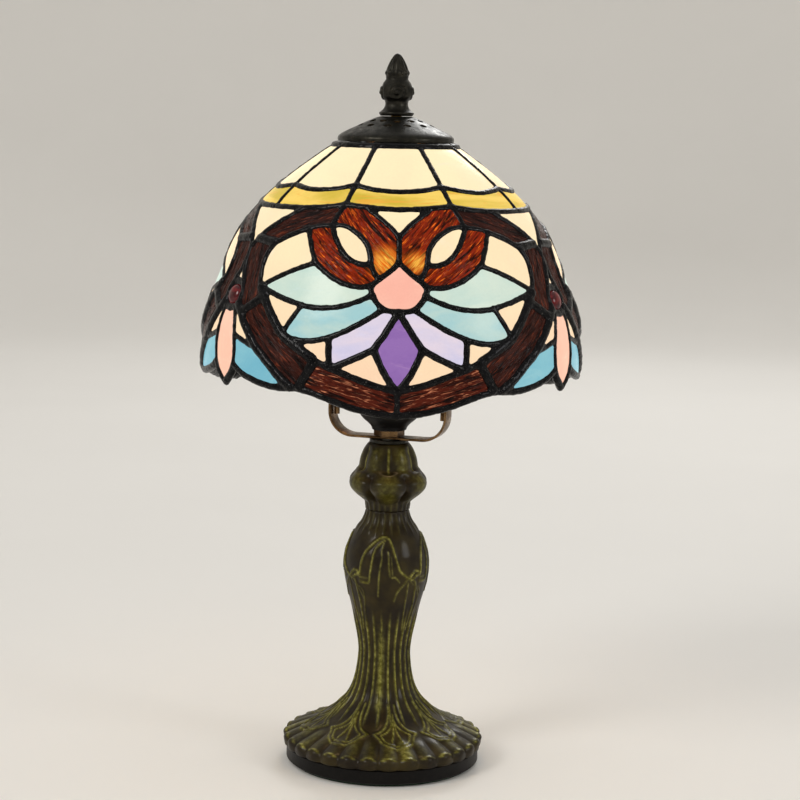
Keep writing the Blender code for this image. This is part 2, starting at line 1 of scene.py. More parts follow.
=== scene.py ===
import math

import bmesh
import bpy
import numpy as np
from mathutils import Matrix, Vector, noise


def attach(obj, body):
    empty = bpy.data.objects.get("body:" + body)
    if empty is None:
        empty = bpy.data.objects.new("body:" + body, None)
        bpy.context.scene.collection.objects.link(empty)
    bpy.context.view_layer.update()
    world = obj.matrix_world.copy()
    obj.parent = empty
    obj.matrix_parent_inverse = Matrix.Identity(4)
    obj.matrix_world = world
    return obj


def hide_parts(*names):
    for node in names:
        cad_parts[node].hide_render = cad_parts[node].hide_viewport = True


# Lengths in the tables below are millimetres. Angles are degrees from the front (-Y) towards +X.
MM = 0.001
SECTORS = (0.0, 120.0, 240.0)      # the shade's pattern comes three times
GLASS_THICK = 2.0
LEAD_RADIUS = 1.95                 # of the round cames, which stand proud on both sides of the glass
LEAD_WIDTHS = (                    # broader cames round the ring and at both edges
    (("in_3", "in_4", "in_5", "out_5", "out_6", "out_7", "split"), 3.0),
    (("crown",), 2.9), (("in_", "out_", "gem", "lilac", "rim", "foot", "band"), 2.2),
)
JEWEL_RADIUS, JEWEL_HEIGHT, JEWEL_FLAT = 5.4, 261.8, 0.56
JEWEL_RINGS = ((6.5, 1.5), (8.2, 1.6))     # of wire round each jewel: reach and radius
LUMP_RADIUS, LUMP_FLAT = 2.4, 0.78         # of the solder where lines meet
SKIN_VOXEL = 0.62                  # how finely cames and solder are run together
BULB_CENTRE = (0.0, 0.0, 0.287)

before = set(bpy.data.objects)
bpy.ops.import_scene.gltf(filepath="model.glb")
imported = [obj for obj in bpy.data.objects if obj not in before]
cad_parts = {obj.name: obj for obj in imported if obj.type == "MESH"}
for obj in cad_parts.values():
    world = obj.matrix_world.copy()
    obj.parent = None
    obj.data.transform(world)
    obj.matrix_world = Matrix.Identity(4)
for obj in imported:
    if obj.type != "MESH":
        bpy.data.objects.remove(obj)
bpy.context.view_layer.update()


# ---------------------------------------------------------------- lines and the dome

def smooth_line(points, steps=8):
    """Points along a smooth line through the given ones."""
    given = [Vector(p) for p in points]
    ends = [2 * given[0] - given[1]] + given + [2 * given[-1] - given[-2]]
    line = []
    for a, b, c, d in zip(ends, ends[1:], ends[2:], ends[3:]):
        for i in range(steps):
            t = i / steps
            line.append(0.5 * (2 * b + (c - a) * t + (2 * a - 5 * b + 4 * c - d) * t * t
                               + (3 * b - a - 3 * c + d) * t * t * t))
    return line + [given[-1]]


class Profile:
    """A turned outline, read from the top down by height or by the distance along it."""

    def __init__(self, points):
        line = smooth_line(points, 12)
        self.radius = np.array([p[0] for p in line])
        self.height = np.array([p[1] for p in line])
        gaps = np.hypot(np.diff(self.radius), np.diff(self.height))
        self.along = np.concatenate([[0.0], np.cumsum(gaps)])

    def along_at(self, height):
        return np.interp(height, self.height[::-1], self.along[::-1])

    def radius_at(self, along):
        return np.interp(along, self.along, self.radius)

    def height_at(self, along):
        return np.interp(along, self.along, self.height)

    def out_at(self, along):
        """The outward direction (radial, upward) of the outline there."""
        step = 0.4
        dr = self.radius_at(along + step) - self.radius_at(along - step)
        dz = self.height_at(along + step) - self.height_at(along - step)
        size = np.hypot(dr, dz)
        return -dz / size, dr / size

    def place(self, angle, along, out=0.0):
        """A point in metres on the turned surface, moved outwards by out."""
        turn = math.radians(angle)
        across, up = self.out_at(along)
        radius = (self.radius_at(along) + out * across) * MM
        height = (self.height_at(along) + out * up) * MM
        return Vector((radius * math.sin(turn), -radius * math.cos(turn), height))

    def outward(self, angle, along):
        turn = math.radians(angle)
        across, up = self.out_at(along)
        return Vector((across * math.sin(turn), -across * math.cos(turn), up))


DOME = Profile([(28.5, 339.8), (35, 336.8), (43, 331.2), (52, 324.6), (59.5, 318.4), (66.5, 312.2),
                (72.3, 305.8), (77.4, 299.6), (82, 293), (86.6, 284), (91.2, 272), (95, 262.5),
                (98, 253.5), (100, 243), (100.7, 232), (100.7, 221), (99.8, 212), (98.6, 204)])

# Where lead lines meet, as (angle, height), in the right half of one sector
KNOTS = {
    "CF": (0, 338.3), "C0": (20, 338.3), "C1": (60, 338.3), "TF": (0, 316), "T0": (21.5, 318.8),
    "T1": (60, 317.8), "FF": (0, 307.6), "TC": (13.5, 308.5), "R0": (22.6, 309.4), "R1": (41, 307),
    "R3": (60, 306.7), "V": (0, 294.6), "K": (0, 282.4), "H1": (6.4, 273.9), "P1": (8.5, 270.8),
    "AU": (25.2, 299.2), "AL": (9.2, 280.9), "PU": (27.9, 280.9), "RI": (34.3, 297.3),
    "S1": (46.8, 289.4), "PT": (47.6, 267.5), "S2": (44.6, 262.5), "LT": (35.2, 245),
    "S3": (24, 233.4), "LC": (19.4, 230), "BT": (0, 219.6), "PL": (29.8, 259.9), "P2": (8, 266.4),
    "P3": (4.6, 259.6), "B0": (0, 258.6), "LQ": (19.9, 245.2), "DW": (6.9, 240.4), "BB": (0, 207.3),
    "O1": (57.6, 290.8), "RN": (60, 286), "RM": (60, 280.6), "J1": (57.3, 268.9), "J2": (60, 268.6),
    "J3": (56.1, 258.6), "J4": (60, 255.5), "N1": (57.3, 255.9), "O2": (53.4, 253.6),
    "SB": (44.3, 236.8), "RB": (31.3, 218.7), "O3": (29.2, 218.8), "BV": (54.8, 227.2),
    "PP": (60, 216.8), "SP": (54.9, 242.3),
}
# Lead lines from knot to knot. In between are (angle, height).
LINES = {
    "crown_a": ["CF", (10, 338.3), "C0"], "crown_b": ["C0", (40, 338.3), "C1"],
    "rib_up": ["C0", "T0"], "rib_low": ["T0", "R0"], "seam_up": ["C1", "T1"], "seam_low": ["T1", "R3"],
    "band_a": ["TF", (11, 316.8), "T0"], "band_b": ["T0", (31, 316.8), (41, 315.9), (50, 316.4), "T1"],
    "foot_a": ["FF", (7, 307.9), "TC"], "foot_b": ["TC", "R0"], "foot_c": ["R0", (31, 307.8), "R1"],
    "foot_d": ["R1", (50, 306.7), "R3"],
    "horn_top": ["TC", (8.5, 304.3), (3.8, 299.8), "V"], "nose": ["V", "K"],
    "pink_top": ["K", (3.4, 277.4), "H1"], "pink_tip": ["H1", "P1"],
    "eye_top": ["AU", (21.5, 299.3), (18.4, 298.3), (14.1, 295), (10.7, 290), (9.3, 283.5), "AL"],
    "eye_low": ["AU", (23.2, 294.5), (21, 290), (17.6, 284.5), (13.4, 281.4), "AL"],
    "horn_gap": ["AL", (7.9, 277.2), "H1"],
    "horn_low": ["P1", (13, 270.1), (18.5, 272.1), (23.7, 276.4), "PU"],
    "horn_side": ["PU", (31, 288.8), "RI"], "horn_cap": ["R0", (24.3, 304), "AU"],
    "horn_end": ["AU", (29.5, 298.7), "RI"],
    "in_1": ["RI", (41.5, 293.3), "S1"], "in_2": ["S1", (49, 284), (49.5, 277.5), (48.8, 271.5), "PT"],
    "in_3": ["PT", "S2"], "in_4": ["S2", (40, 254), "LT"],
    "in_5": ["LT", (31.5, 241), (27.6, 237.2), "S3"], "in_6": ["S3", "LC"],
    "in_7": ["LC", (14, 226.8), (7, 222.6), "BT"],
    "shoulder": ["PU", (34, 277.6), (40.5, 273.2), "PT"], "petal_a": ["PT", (38, 263), "PL"],
    "petal_b": ["PL", (24.5, 259.1), (18, 260.2), (12, 263.3), "P2"],
    "pink_a": ["P1", (8.6, 268.4), "P2"], "pink_b": ["P2", (6.6, 262.6), "P3"],
    "pink_c": ["P3", (2.3, 258.8), "B0"], "wedge": ["PL", (33, 251.5), "LT"],
    "under": ["P3", (9.4, 254.3), (15, 248.9), "LQ"], "chip": ["LQ", (24.5, 243.2), (29.5, 242.9), "LT"],
    "lilac_side": ["LQ", (19.8, 237), "LC"], "gem_up": ["B0", (2.2, 252.6), (4.6, 246), "DW"],
    "gem_low": ["DW", (5.2, 233.5), (2.9, 226), "BT"], "lilac_low": ["DW", (12.4, 235.3), "LC"],
    "keel": ["BT", "BB"],
    "out_1": ["R1", (49, 300.6), (54.6, 294.9), "O1"], "out_2": ["O1", "RN"], "waist": ["RN", "RM"],
    "out_3": ["RM", (59.1, 275), "J1"], "out_4": ["J1", (55.6, 263.8), "J3"], "out_5": ["J3", "O2"],
    "out_6": ["O2", (49, 245.3), "SB"], "out_7": ["SB", (39.8, 230.5), (35, 223), "RB"],
    "split_1": ["S1", "O1"], "split_2": ["S2", "O2"], "split_3": ["S3", "O3"],
    "rim_a": ["BB", (7, 208.6), (15, 211.8), (24, 216.9), "O3"], "rim_b": ["O3", "RB"],
    "rim_c": ["RB", (35, 218.3), (40, 218.7), (46, 220.7), (51, 223.3), "BV"],
    "rim_d": ["BV", (56.6, 222), "PP"], "blue_top": ["SB", (49.5, 239.2), "SP"],
    "long_a": ["N1", (55.8, 249.5), "SP"], "long_b": ["SP", (54.4, 235), "BV"],
    "spur": ["J3", "N1"], "brow": ["N1", "J4"], "spark": ["J1", "J2"],
}
MIDLINES = ("nose", "keel", "seam_up", "seam_low", "waist")     # on a mirror line, so laid once
# Panes: zone, glass, kind, outline. Kind is "front" or "side" for a pane that straddles the
# mirror line at 0 or 60 degrees, where the outline is its half, or "pair". "-" turns a line round.
PANES = (
    ("top_pane_front", "cream", "front", "crown_a rib_up -band_a"),
    ("top_pane", "cream", "pair", "crown_b seam_up -band_b -rib_up"),
    ("band_pane_front", "band", "front", "band_a rib_low -foot_b -foot_a"),
    ("band_pane", "band", "pair", "band_b seam_low -foot_d -foot_c -rib_low"),
    ("medallion_heart", "cream", "front", "foot_a horn_top"),
    ("medallion_heart", "amber", "pair", "foot_b horn_cap eye_top horn_gap -pink_top -nose -horn_top"),
    ("medallion_heart", "cream", "pair", "eye_top -eye_low"),
    ("medallion", "amber", "pair", "horn_end -horn_side -horn_low -pink_tip -horn_gap -eye_low"),
    ("medallion_heart", "pink", "front", "pink_top pink_tip pink_a pink_b pink_c"),
    ("medallion_heart", "purple", "front", "gem_up gem_low"),
    ("medallion", "ring", "pair", "foot_c out_1 -split_1 -in_1 -horn_end -horn_cap"),
    ("medallion", "ring", "pair", "out_2 waist out_3 out_4 out_5 -split_2 -in_3 -in_2 split_1"),
    ("medallion", "ring", "pair", "out_6 out_7 -rim_b -split_3 -in_5 -in_4 split_2"),
    ("medallion_heart", "ring_low", "pair", "-rim_a -keel -in_7 -in_6 split_3"),
    ("medallion", "cream", "pair", "in_1 in_2 -shoulder horn_side"),
    ("medallion", "petal", "pair", "shoulder petal_a petal_b -pink_a horn_low"),
    ("medallion", "cream", "pair", "in_3 in_4 -wedge -petal_a"),
    ("medallion", "petal_low", "pair", "-petal_b wedge -chip -under -pink_b"),
    ("medallion", "cream", "pair", "in_5 in_6 -lilac_side chip"),
    ("medallion_heart", "lilac", "pair", "under lilac_side -lilac_low -gem_up -pink_c"),
    ("medallion_heart", "cream", "pair", "lilac_low in_7 -gem_low"),
    ("gable_pane", "cream", "side", "-foot_d out_1 out_2"),
    ("fan_pane", "cream", "side", "out_3 spark"),
    ("fan_pane", "cream", "pair", "spur long_a -blue_top -out_6 -out_5"),
    ("fan_pane", "rose", "side", "-brow long_a long_b rim_d"),
    ("fan_pane", "blue", "pair", "blue_top long_b -rim_c -out_7"),
)


def knot(item):
    return KNOTS[item] if isinstance(item, str) else item


def laid(name, gap=2.0):
    """A lead line as (angle, height) points about a gap apart."""
    fine = smooth_line([knot(item) for item in LINES[name]], 16)
    spots = [DOME.place(a, DOME.along_at(z)) for a, z in fine]
    run = np.concatenate([[0.0], np.cumsum([(b - a).length for a, b in zip(spots, spots[1:])])]) / MM
    even = np.linspace(0.0, run[-1], max(2, round(run[-1] / gap) + 1))
    return [(float(np.interp(d, run, [p[0] for p in fine])), float(np.interp(d, run, [p[1] for p in fine])))
            for d in even]


LAID = {name: laid(name) for name in LINES}


def mirrored(points, about=0.0):
    return [(2 * about - angle, height) for angle, height in points]


def pane_outline(route, kind):
    """The closed outline of a pane, with the second half of one that straddles a mirror line."""
    points = []
    for name in route.split():
        line = LAID[name.lstrip("-")]
        points += line[::-1][:-1] if name[0] == "-" else line[:-1]
    if kind == "pair":
        return points
    last = LAID[route.split()[-1].lstrip("-")]
    points.append(last[0] if route.split()[-1][0] == "-" else last[-1])
    return points + mirrored(points, 0.0 if kind == "front" else 60.0)[-2:0:-1]


# ---------------------------------------------------------------- shader sums

class Sock:
    """A shader value that takes part in sums, and makes any other node beside itself."""

    def __init__(self, tree, out=None):
        self.tree, self.out = tree, out

    def node(self, kind, settings=None, inputs=None, out=0):
        """The output of a new node, given its type, its settings and its sockets."""
        made = self.tree.nodes.new(kind)
        for key, value in (settings or {}).items():
            setattr(made, key, value)
        for key, value in (inputs or {}).items():
            if isinstance(value, Sock):
                self.tree.links.new(value.out, made.inputs[key])
            else:
                made.inputs[key].default_value = value
        return Sock(self.tree, made.outputs[out])

    def sum(self, operation, *values, clamp=False):
        settings = {"operation": operation, "use_clamp": clamp}
        return self.node("ShaderNodeMath", settings, dict(enumerate(values)))

    def __add__(self, other):
        return self.sum("ADD", self, other)

    def __rsub__(self, other):
        return self.sum("SUBTRACT", other, self)

    def __mul__(self, other):
        return self.sum("MULTIPLY", self, other)

    def __pow__(self, other):
        return self.sum("POWER", self, other)

    __radd__, __rmul__ = __add__, __mul__

    def clamp(self):
        return self.sum("ADD", self, 0.0, clamp=True)

    def ease(self, low, high):
        """0 where the value is at low, 1 at high, and smooth between."""
        return self.node("ShaderNodeMapRange", {"interpolation_type": "SMOOTHSTEP"},
                         {"Value": self, "From Min": low, "From Max": high})

    def blend(self, a, b):
        """Colour a where the value is 0 and b where it is 1."""
        a, b = (c if isinstance(c, Sock) else (*c, 1.0) for c in (a, b))
        return self.node("ShaderNodeMix", {"data_type": "RGBA"}, {0: self, 6: a, 7: b}, 2)

    def scaled(self, amount):
        """A colour or vector made amount times as large."""
        return self.node("ShaderNodeVectorMath", {"operation": "SCALE"}, {0: self, "Scale": amount})


def seen(red, green, blue):
    """A colour given as 0 to 255, in the linear numbers that shaders take."""
    return tuple((c / 255 / 12.92) if c <= 10 else ((c / 255 + 0.055) / 1.055) ** 2.4
                 for c in (red, green, blue))


class Finish:
    """A material: constants go on its shader, and what varies is linked to it."""

    def __init__(self, name, **constants):
        self.material = bpy.data.materials.new(name)
        self.material.use_nodes = True
        tree = self.material.node_tree
        self.shader = tree.nodes["Principled BSDF"]
        self.sock = Sock(tree)
        self.place = self.sock.node("ShaderNodeTexCoord", out="Object")
        for key, value in constants.items():
            self.shader.inputs[key.replace("_", " ")].default_value = value

    def noise(self, scale, detail=3.0, where=None, rough=0.5, warp=0.0):
        return self.sock.node("ShaderNodeTexNoise", {}, {
            "Vector": where or self.place, "Scale": scale, "Detail": detail, "Roughness": rough,
            "Distortion": warp})

    def grain(self, along, across):
        """A pane's own coordinates, stretched by a factor along and across its grain."""
        flat = self.sock.node("ShaderNodeUVMap", {"uv_map": "grain"})
        return self.sock.node("ShaderNodeVectorMath", {"operation": "MULTIPLY"},
                              {0: flat, 1: (along, across, 1.0)})

    def distance(self, centre):
        return self.sock.node("ShaderNodeVectorMath", {"operation": "DISTANCE"},
                              {0: self.place, 1: centre}, "Value")

    def link(self, **sockets):
        for key, value in sockets.items():
            self.sock.tree.links.new(value.out, self.shader.inputs[key.replace("_", " ")])
        return self

    def bump(self, height, depth, strength=1.0):
        return self.link(Normal=self.sock.node(
            "ShaderNodeBump", {}, {"Height": height, "Distance": depth, "Strength": strength}))


# ---------------------------------------------------------------- finishes

def bulb_nearness(finish):
    """1 close to the bulb and 0 at the far edge of the shade."""
    return finish.distance(BULB_CENTRE).ease(0.125, 0.055)


def lit_glass(name, bright, deep, streak, dim, stretch, contrast, by_bulb=False):
    """Opalescent sheet glass with the bulb behind it, its light through the glass painted as emission: wisps
    of a bright and a deep colour.

    dim is the painted light left at the far edge of the shade, and by_bulb paints the glass brighter near the
    bulb, leaving it warmer and deeper away from the bulb.
    """
    finish = Finish(name, Roughness=0.22, IOR=1.45, Emission_Strength=1.0, Specular_IOR_Level=0.2)
    wisps = finish.noise(1.0, 4.0, finish.grain(*stretch), 0.55, 0.8)
    tone = wisps.ease(0.5 - contrast / 2, 0.5 + contrast / 2)
    if by_bulb:
        tone = (tone * 0.42 + bulb_nearness(finish) ** 0.7 * 0.7).clamp()
    colour = tone.blend(deep, bright)
    threads = finish.noise(2.2, 3.0, finish.grain(*stretch), 0.5, 1.6)
    colour = (threads.ease(0.58, 0.72) * 0.6).blend(colour, streak)
    near = bulb_nearness(finish)
    grainy = finish.noise(900.0, 2.0)
    power = (near * (1.0 - dim) + dim) * (grainy * 0.08 + 0.96)
    finish.link(Emission_Color=colour.scaled(power), Base_Color=colour.scaled(0.08))
    return finish.bump(finish.noise(160.0, 3.0), 0.0004, 0.4).material


def ripple_glass(name, dark, mid, bright, hot=None):
    """Rippled dark glass lit from behind, painted as emission: light gathers in painted streaks along its
    grain, and hot adds painted hot spots where the bulb shines through.
    """
    finish = Finish(name, Roughness=0.14, IOR=1.5, Emission_Strength=1.0, Specular_IOR_Level=0.08)
    ripple = finish.noise(1.0, 5.0, finish.grain(60, 560), 0.6, 0.7)
    ridges = finish.noise(1.0, 3.0, finish.grain(130, 1400), 0.6, 0.4)
    colour = ripple.ease(0.36, 0.6).blend(dark, mid)
    colour = (ridges.ease(0.55, 0.68) * ripple.ease(0.35, 0.55)).blend(colour, bright)
    if hot:
        warm, glow, centres = hot
        for centre, reach in centres:
            near = finish.distance(centre).ease(reach, 0.1 * reach)
            colour = (near * (ripple.ease(0.25, 0.6) * 0.75 + 0.25)).blend(colour, warm)
            colour = (near * near * ridges.ease(0.35, 0.7)).blend(colour, glow)
    finish.link(Emission_Color=colour, Base_Color=colour.scaled(0.03))
    return finish.bump(ridges, 0.0007, 0.7).material


def lead_finish():
    """Dark patinated solder with painted glints as speckled bright points."""
    finish = Finish("dark_solder", Metallic=0.65, IOR=1.45, Coat_Weight=0.16, Coat_Roughness=0.08,
                    Specular_IOR_Level=0.12)
    cloud = finish.noise(260.0, 4.0)
    painted_glint = finish.noise(1500.0, 2.0)
    colour = cloud.ease(0.35, 0.7).blend(seen(5, 5, 7), seen(19, 19, 21))
    # Painted glints: sparse bright specks over the dark solder.
    colour = painted_glint.ease(0.64, 0.74).blend(colour, seen(96, 94, 92))
    finish.link(Base_Color=colour, Roughness=cloud * 0.25 + 0.2)
    return finish.bump(finish.noise(520.0, 4.0), 0.0005, 0.6).material


def metal(name, colour, dark, rough, metallic=1.0, scale=180.0):
    """A cast or turned metal with uneven tone."""
    finish = Finish(name, Metallic=metallic)
    cloud = finish.noise(scale, 5.0)
    fine = finish.noise(scale * 6, 3.0)
    tone = (cloud * 0.7 + fine * 0.3).ease(0.3, 0.7)
    finish.link(Base_Color=tone.blend(dark, colour), Roughness=(1 - tone) * 0.25 + (rough - 0.1))
    return finish.bump(cloud * 0.6 + fine * 0.4, 0.0002, 0.6).material


def gilded_bronze():
    """Brown-black cast bronze under lacquer, rubbed with olive gold along the raised lines, the same gold
    also standing for painted highlights where the mesh marks them.
    """
    finish = Finish("gilded_bronze", Metallic=0.2, Coat_Roughness=0.16, Coat_Weight=0.22,
                    Specular_IOR_Level=0.12)
    gild_and_highlight = finish.sock.node("ShaderNodeAttribute", {"attribute_name": "gild_and_highlight"}, out="Fac")
    cloud = finish.noise(70.0, 5.0)
    worn = finish.noise(420.0, 4.0)
    amount = (gild_and_highlight * (cloud.ease(0.25, 0.65) * 0.7 + 0.45) * (worn * 0.8 + 0.55)).clamp()
    dark = cloud.ease(0.35, 0.7).blend(seen(28, 20, 6), seen(52, 43, 12))
    gold = worn.ease(0.3, 0.75).blend(seen(98, 94, 16), seen(164, 160, 78))
    finish.link(Base_Color=amount.blend(dark, gold), Roughness=0.42 - amount * 0.1 + worn * 0.1)
    return finish.bump(worn * 0.6 + cloud * 0.4, 0.0003, 0.5).material


def plain(name, colour, dark, rough, scale=300.0, depth=0.0001, **constants):
    """A dull moulded, painted or woven surface with a fine grain."""
    finish = Finish(name, **constants)
    grain = finish.noise(scale, 4.0)
    finish.link(Base_Color=grain.ease(0.3, 0.7).blend(dark, colour), Roughness=grain * 0.2 + (rough - 0.1))
    return finish.bump(grain, depth, 0.6).material


# Painted hot spots: where the bulb shines through the amber horns, two a sector, each with its reach in
# metres.
HOT_SPOTS = [(tuple(DOME.place(turn + side, DOME.along_at(282.5))), 0.0125 if side < 0 else 0.009)
             for turn in SECTORS for side in (-4.5, 6.0)]
GLASS = {
    "cream": lit_glass("cream_glass", seen(253, 235, 190), seen(250, 210, 176), seen(253, 230, 198),
                       0.96, (22, 22), 0.6, True),
    "band": lit_glass("golden_glass", seen(248, 210, 104), seen(206, 178, 58), seen(240, 166, 62),
                      0.95, (14, 70), 0.35),
    "petal": lit_glass("sea_glass", seen(210, 224, 208), seen(190, 215, 204), seen(202, 222, 214),
                       0.96, (26, 60), 0.4),
    "petal_low": lit_glass("aqua_glass", seen(186, 211, 203), seen(158, 201, 205), seen(174, 209, 208),
                           0.97, (26, 60), 0.4),
    "blue": lit_glass("blue_glass", seen(134, 191, 202), seen(114, 178, 196), seen(146, 196, 204),
                      0.98, (26, 60), 0.4),
    "lilac": lit_glass("lilac_glass", seen(226, 211, 222), seen(208, 202, 226), seen(218, 211, 232),
                       0.97, (26, 60), 0.4),
    "purple": lit_glass("purple_glass", seen(146, 108, 174), seen(124, 86, 158), seen(164, 126, 182),
                        0.98, (26, 60), 0.4),
    "pink": lit_glass("pink_glass", seen(251, 198, 174), seen(247, 180, 160), seen(253, 206, 184),
                      0.97, (30, 30), 0.5),
    "rose": lit_glass("rose_glass", seen(254, 202, 174), seen(249, 190, 164), seen(254, 214, 188),
                      0.98, (30, 30), 0.5),
    "ring": ripple_glass("umber_glass", seen(14, 5, 4), seen(52, 21, 14), seen(104, 48, 30)),
    "ring_low": ripple_glass("umber_glass_red", seen(16, 4, 3), seen(78, 25, 12), seen(196, 122, 86)),
    "amber": ripple_glass("amber_glass", seen(30, 6, 2), seen(136, 36, 7), seen(244, 112, 26),
                          (seen(232, 100, 8), seen(255, 206, 84), HOT_SPOTS)),
}
RIPPLED = ("ring", "ring_low", "amber")
EDGE_CUT = 0.8                              # how far a pane stays inside the middle of its lead
RIPPLE_STEPS, SMOOTH_STEPS = (1.6, 0.3), (3.0, 3.0)        # between cuts along and across the grain
WHOLE_ZONES = {"medallion_heart": 0.0, "fan_pane": 60.0}   # zones that hold both halves of a pair


# ---------------------------------------------------------------- pieces

def placed(name, data):
    """An object in the scene for a mesh, curve, light or camera."""
    made = bpy.data.objects.new(name, data)
    bpy.context.scene.collection.objects.link(made)
    return made


def as_mesh(bm, name="scrap"):
    mesh = bpy.data.meshes.new(name)
    bm.to_mesh(mesh)
    bm.free()
    return mesh


def built(made):
    """The mesh that an object's curve or modifiers give."""
    mesh = bpy.data.meshes.new_from_object(made.evaluated_get(bpy.context.evaluated_depsgraph_get()))
    bpy.data.objects.remove(made)
    return mesh


def piece(name, bm, finishes, body, nodes, sharp=None):
    """A finished mesh that rides on a body and stands for CAD nodes. sharp is an angle in degrees."""
    mesh = as_mesh(bm, name)
    for finish in finishes:
        mesh.materials.append(finish)
    made = placed(name, mesh)
    mesh.shade_smooth()
    if sharp:
        mesh.set_sharp_from_angle(angle=math.radians(sharp))
    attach(made, body)
    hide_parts(*nodes)
    return made


def cut_across(bm, axis, low, high, step):
    """Cuts the mesh by even planes along an axis."""
    for i in range(1, max(2, math.ceil((high - low) / step))):
        bmesh.ops.bisect_plane(bm, geom=bm.verts[:] + bm.edges[:] + bm.faces[:], dist=1e-6,
                               plane_co=axis * (low + i * step), plane_no=axis)


def grain_turn(spots, glass):
    """The direction of the grain, along a rippled pane and level in any other."""
    if glass not in RIPPLED:
        return 0.0
    xy = np.array([s[:] for s in spots])
    xy = xy - xy.mean(0)
    return 0.5 * math.atan2(2 * (xy[:, 0] * xy[:, 1]).sum(), (xy[:, 0] ** 2).sum() - (xy[:, 1] ** 2).sum())


def flat_pane(spots, glass):
    """A pane cut flat from its outline and divided finely across its grain."""
    bm = bmesh.new()
    face = bm.faces.new([bm.verts.new((*spot, 0.0)) for spot in spots])
    rim = bmesh.ops.inset_region(bm, faces=[face], thickness=EDGE_CUT, use_even_offset=False)["faces"]
    bmesh.ops.delete(bm, geom=rim, context="FACES")
    bmesh.ops.triangulate(bm, faces=bm.faces[:])
    steps = RIPPLE_STEPS if glass in RIPPLED else SMOOTH_STEPS
    for axis, step in zip((Vector((1, 0, 0)), Vector((0, 1, 0))), steps):
        ends = [v.co.dot(axis) for v in bm.verts]
        cut_across(bm, axis, min(ends), max(ends), step)
    return bm


def ripple_at(x, y, seed):
    """Height of the ripples of dark glass, long along the grain and short across it."""
    return 0.34 * noise.noise((x / 7.0, y / 0.95, seed)) + 0.16 * noise.noise((x / 3.0, y / 2.6, seed + 9))


def pane_mesh(outline, glass, seed):
    """One pane: cut flat, divided along its grain, bent to the dome and given its ripple."""
    middle = [sum(p[i] for p in outline) / len(outline) for i in (0, 1)]
    along = DOME.along_at(middle[1])
    radius = float(DOME.radius_at(along))
    spots = [Vector((radius * math.radians(a - middle[0]), float(DOME.along_at(z) - along)))
             for a, z in outline]
    turn = grain_turn(spots, glass)
    to_grain, back = Matrix.Rotation(-turn, 2), Matrix.Rotation(turn, 2)
    bm = flat_pane([to_grain @ spot for spot in spots], glass)
    uv = bm.loops.layers.uv.new("grain")
    for loop in (loop for face in bm.faces for loop in face.loops):
        x, y, _ = loop.vert.co
        loop[uv].uv = (x * MM + 0.37 * seed, y * MM + 0.61 * seed)
    for vert in bm.verts:
        x, y, _ = vert.co
        u, v = back @ Vector((x, y))
        wave = ripple_at(x, y, seed) if glass in RIPPLED else 0.0
        vert.co = DOME.place(middle[0] + math.degrees(u / radius), along + v, wave)
    out = DOME.outward(middle[0], along)
    bm.normal_update()
    if sum(f.normal.dot(out) for f in bm.faces) < 0:
        bmesh.ops.reverse_faces(bm, faces=bm.faces[:])
    return bm


def panes_by_zone():
    """The outlines and glass of one sector's panes, under the CAD zone that each belongs to."""
    zones = {}
    for zone, glass, kind, route in PANES:
        outline = pane_outline(route, kind)
        if kind == "pair" and zone not in WHOLE_ZONES:
            zones.setdefault(zone + "_right", []).append((outline, glass))
            zones.setdefault(zone + "_left", []).append((mirrored(outline), glass))
            continue
        zones.setdefault(zone, []).append((outline, glass))
        if kind == "pair":
            zones[zone].append((mirrored(outline, WHOLE_ZONES[zone]), glass))
    return zones


def build_panes():
    """The glass, one piece for each CAD zone, with every pane cut separately."""
    zones = panes_by_zone()
    seed = 0
    for number, turn in enumerate(SECTORS, start=1):
        for zone, panes in zones.items():
            whole, kinds = bmesh.new(), sorted({glass for _, glass in panes})
            for outline, glass in panes:
                seed += 1
                bm = pane_mesh([(a + turn, z) for a, z in outline], glass, seed)
                for face in bm.faces:
                    face.material_index = kinds.index(glass)
                scrap = as_mesh(bm)
                whole.from_mesh(scrap)
                bpy.data.meshes.remove(scrap)
            made = piece(f"glass_{zone}_{number}", whole, [GLASS[k] for k in kinds], "shade",
                         [f"{zone}_{number}"])
            wall = made.modifiers.new("wall", "SOLIDIFY")
            wall.thickness, wall.offset = GLASS_THICK * MM, 0.0


def jewel_ring(reach):
    """A closed line round a jewel, as (angle, height)."""
    centre = DOME.along_at(JEWEL_HEIGHT)
    radius = float(DOME.radius_at(centre))
    turns = (2 * math.pi * i / 32 for i in range(33))
    return [(60 + math.degrees(reach * math.cos(a) / radius),
             float(DOME.height_at(centre + reach * math.sin(a)))) for a in turns]


def lead_curve(turn):
    """One sector's lead lines as round cames."""
    came = bpy.data.curves.new("came", "CURVE")
    came.dimensions, came.bevel_depth, came.bevel_resolution = "3D", 1.0, 2
    came.use_fill_caps = True
    routes = []
    for name, line in LAID.items():
        width = next((size for names, size in LEAD_WIDTHS if name.startswith(names)), LEAD_RADIUS)
        routes.append((line, width))
        if name not in MIDLINES:
            routes.append((mirrored(line), width))
    routes += [(jewel_ring(reach), width) for reach, width in JEWEL_RINGS]
    for line, width in routes:
        spline = came.splines.new("POLY")
        spline.points.add(len(line) - 1)
        for point, (angle, height) in zip(spline.points, line):
            point.co = (*DOME.place(angle + turn, DOME.along_at(height)), 1.0)
            point.radius = width * MM
    return came


def on_dome(angle, height, flat):
    """The transform that sets a shape on the dome, made flat by a factor outwards."""
    along = DOME.along_at(height)
    up = DOME.outward(angle, along).to_track_quat("Z", "Y").to_matrix().to_4x4()
    return Matrix.Translation(DOME.place(angle, along)) @ up @ Matrix.Diagonal((1, 1, flat, 1))


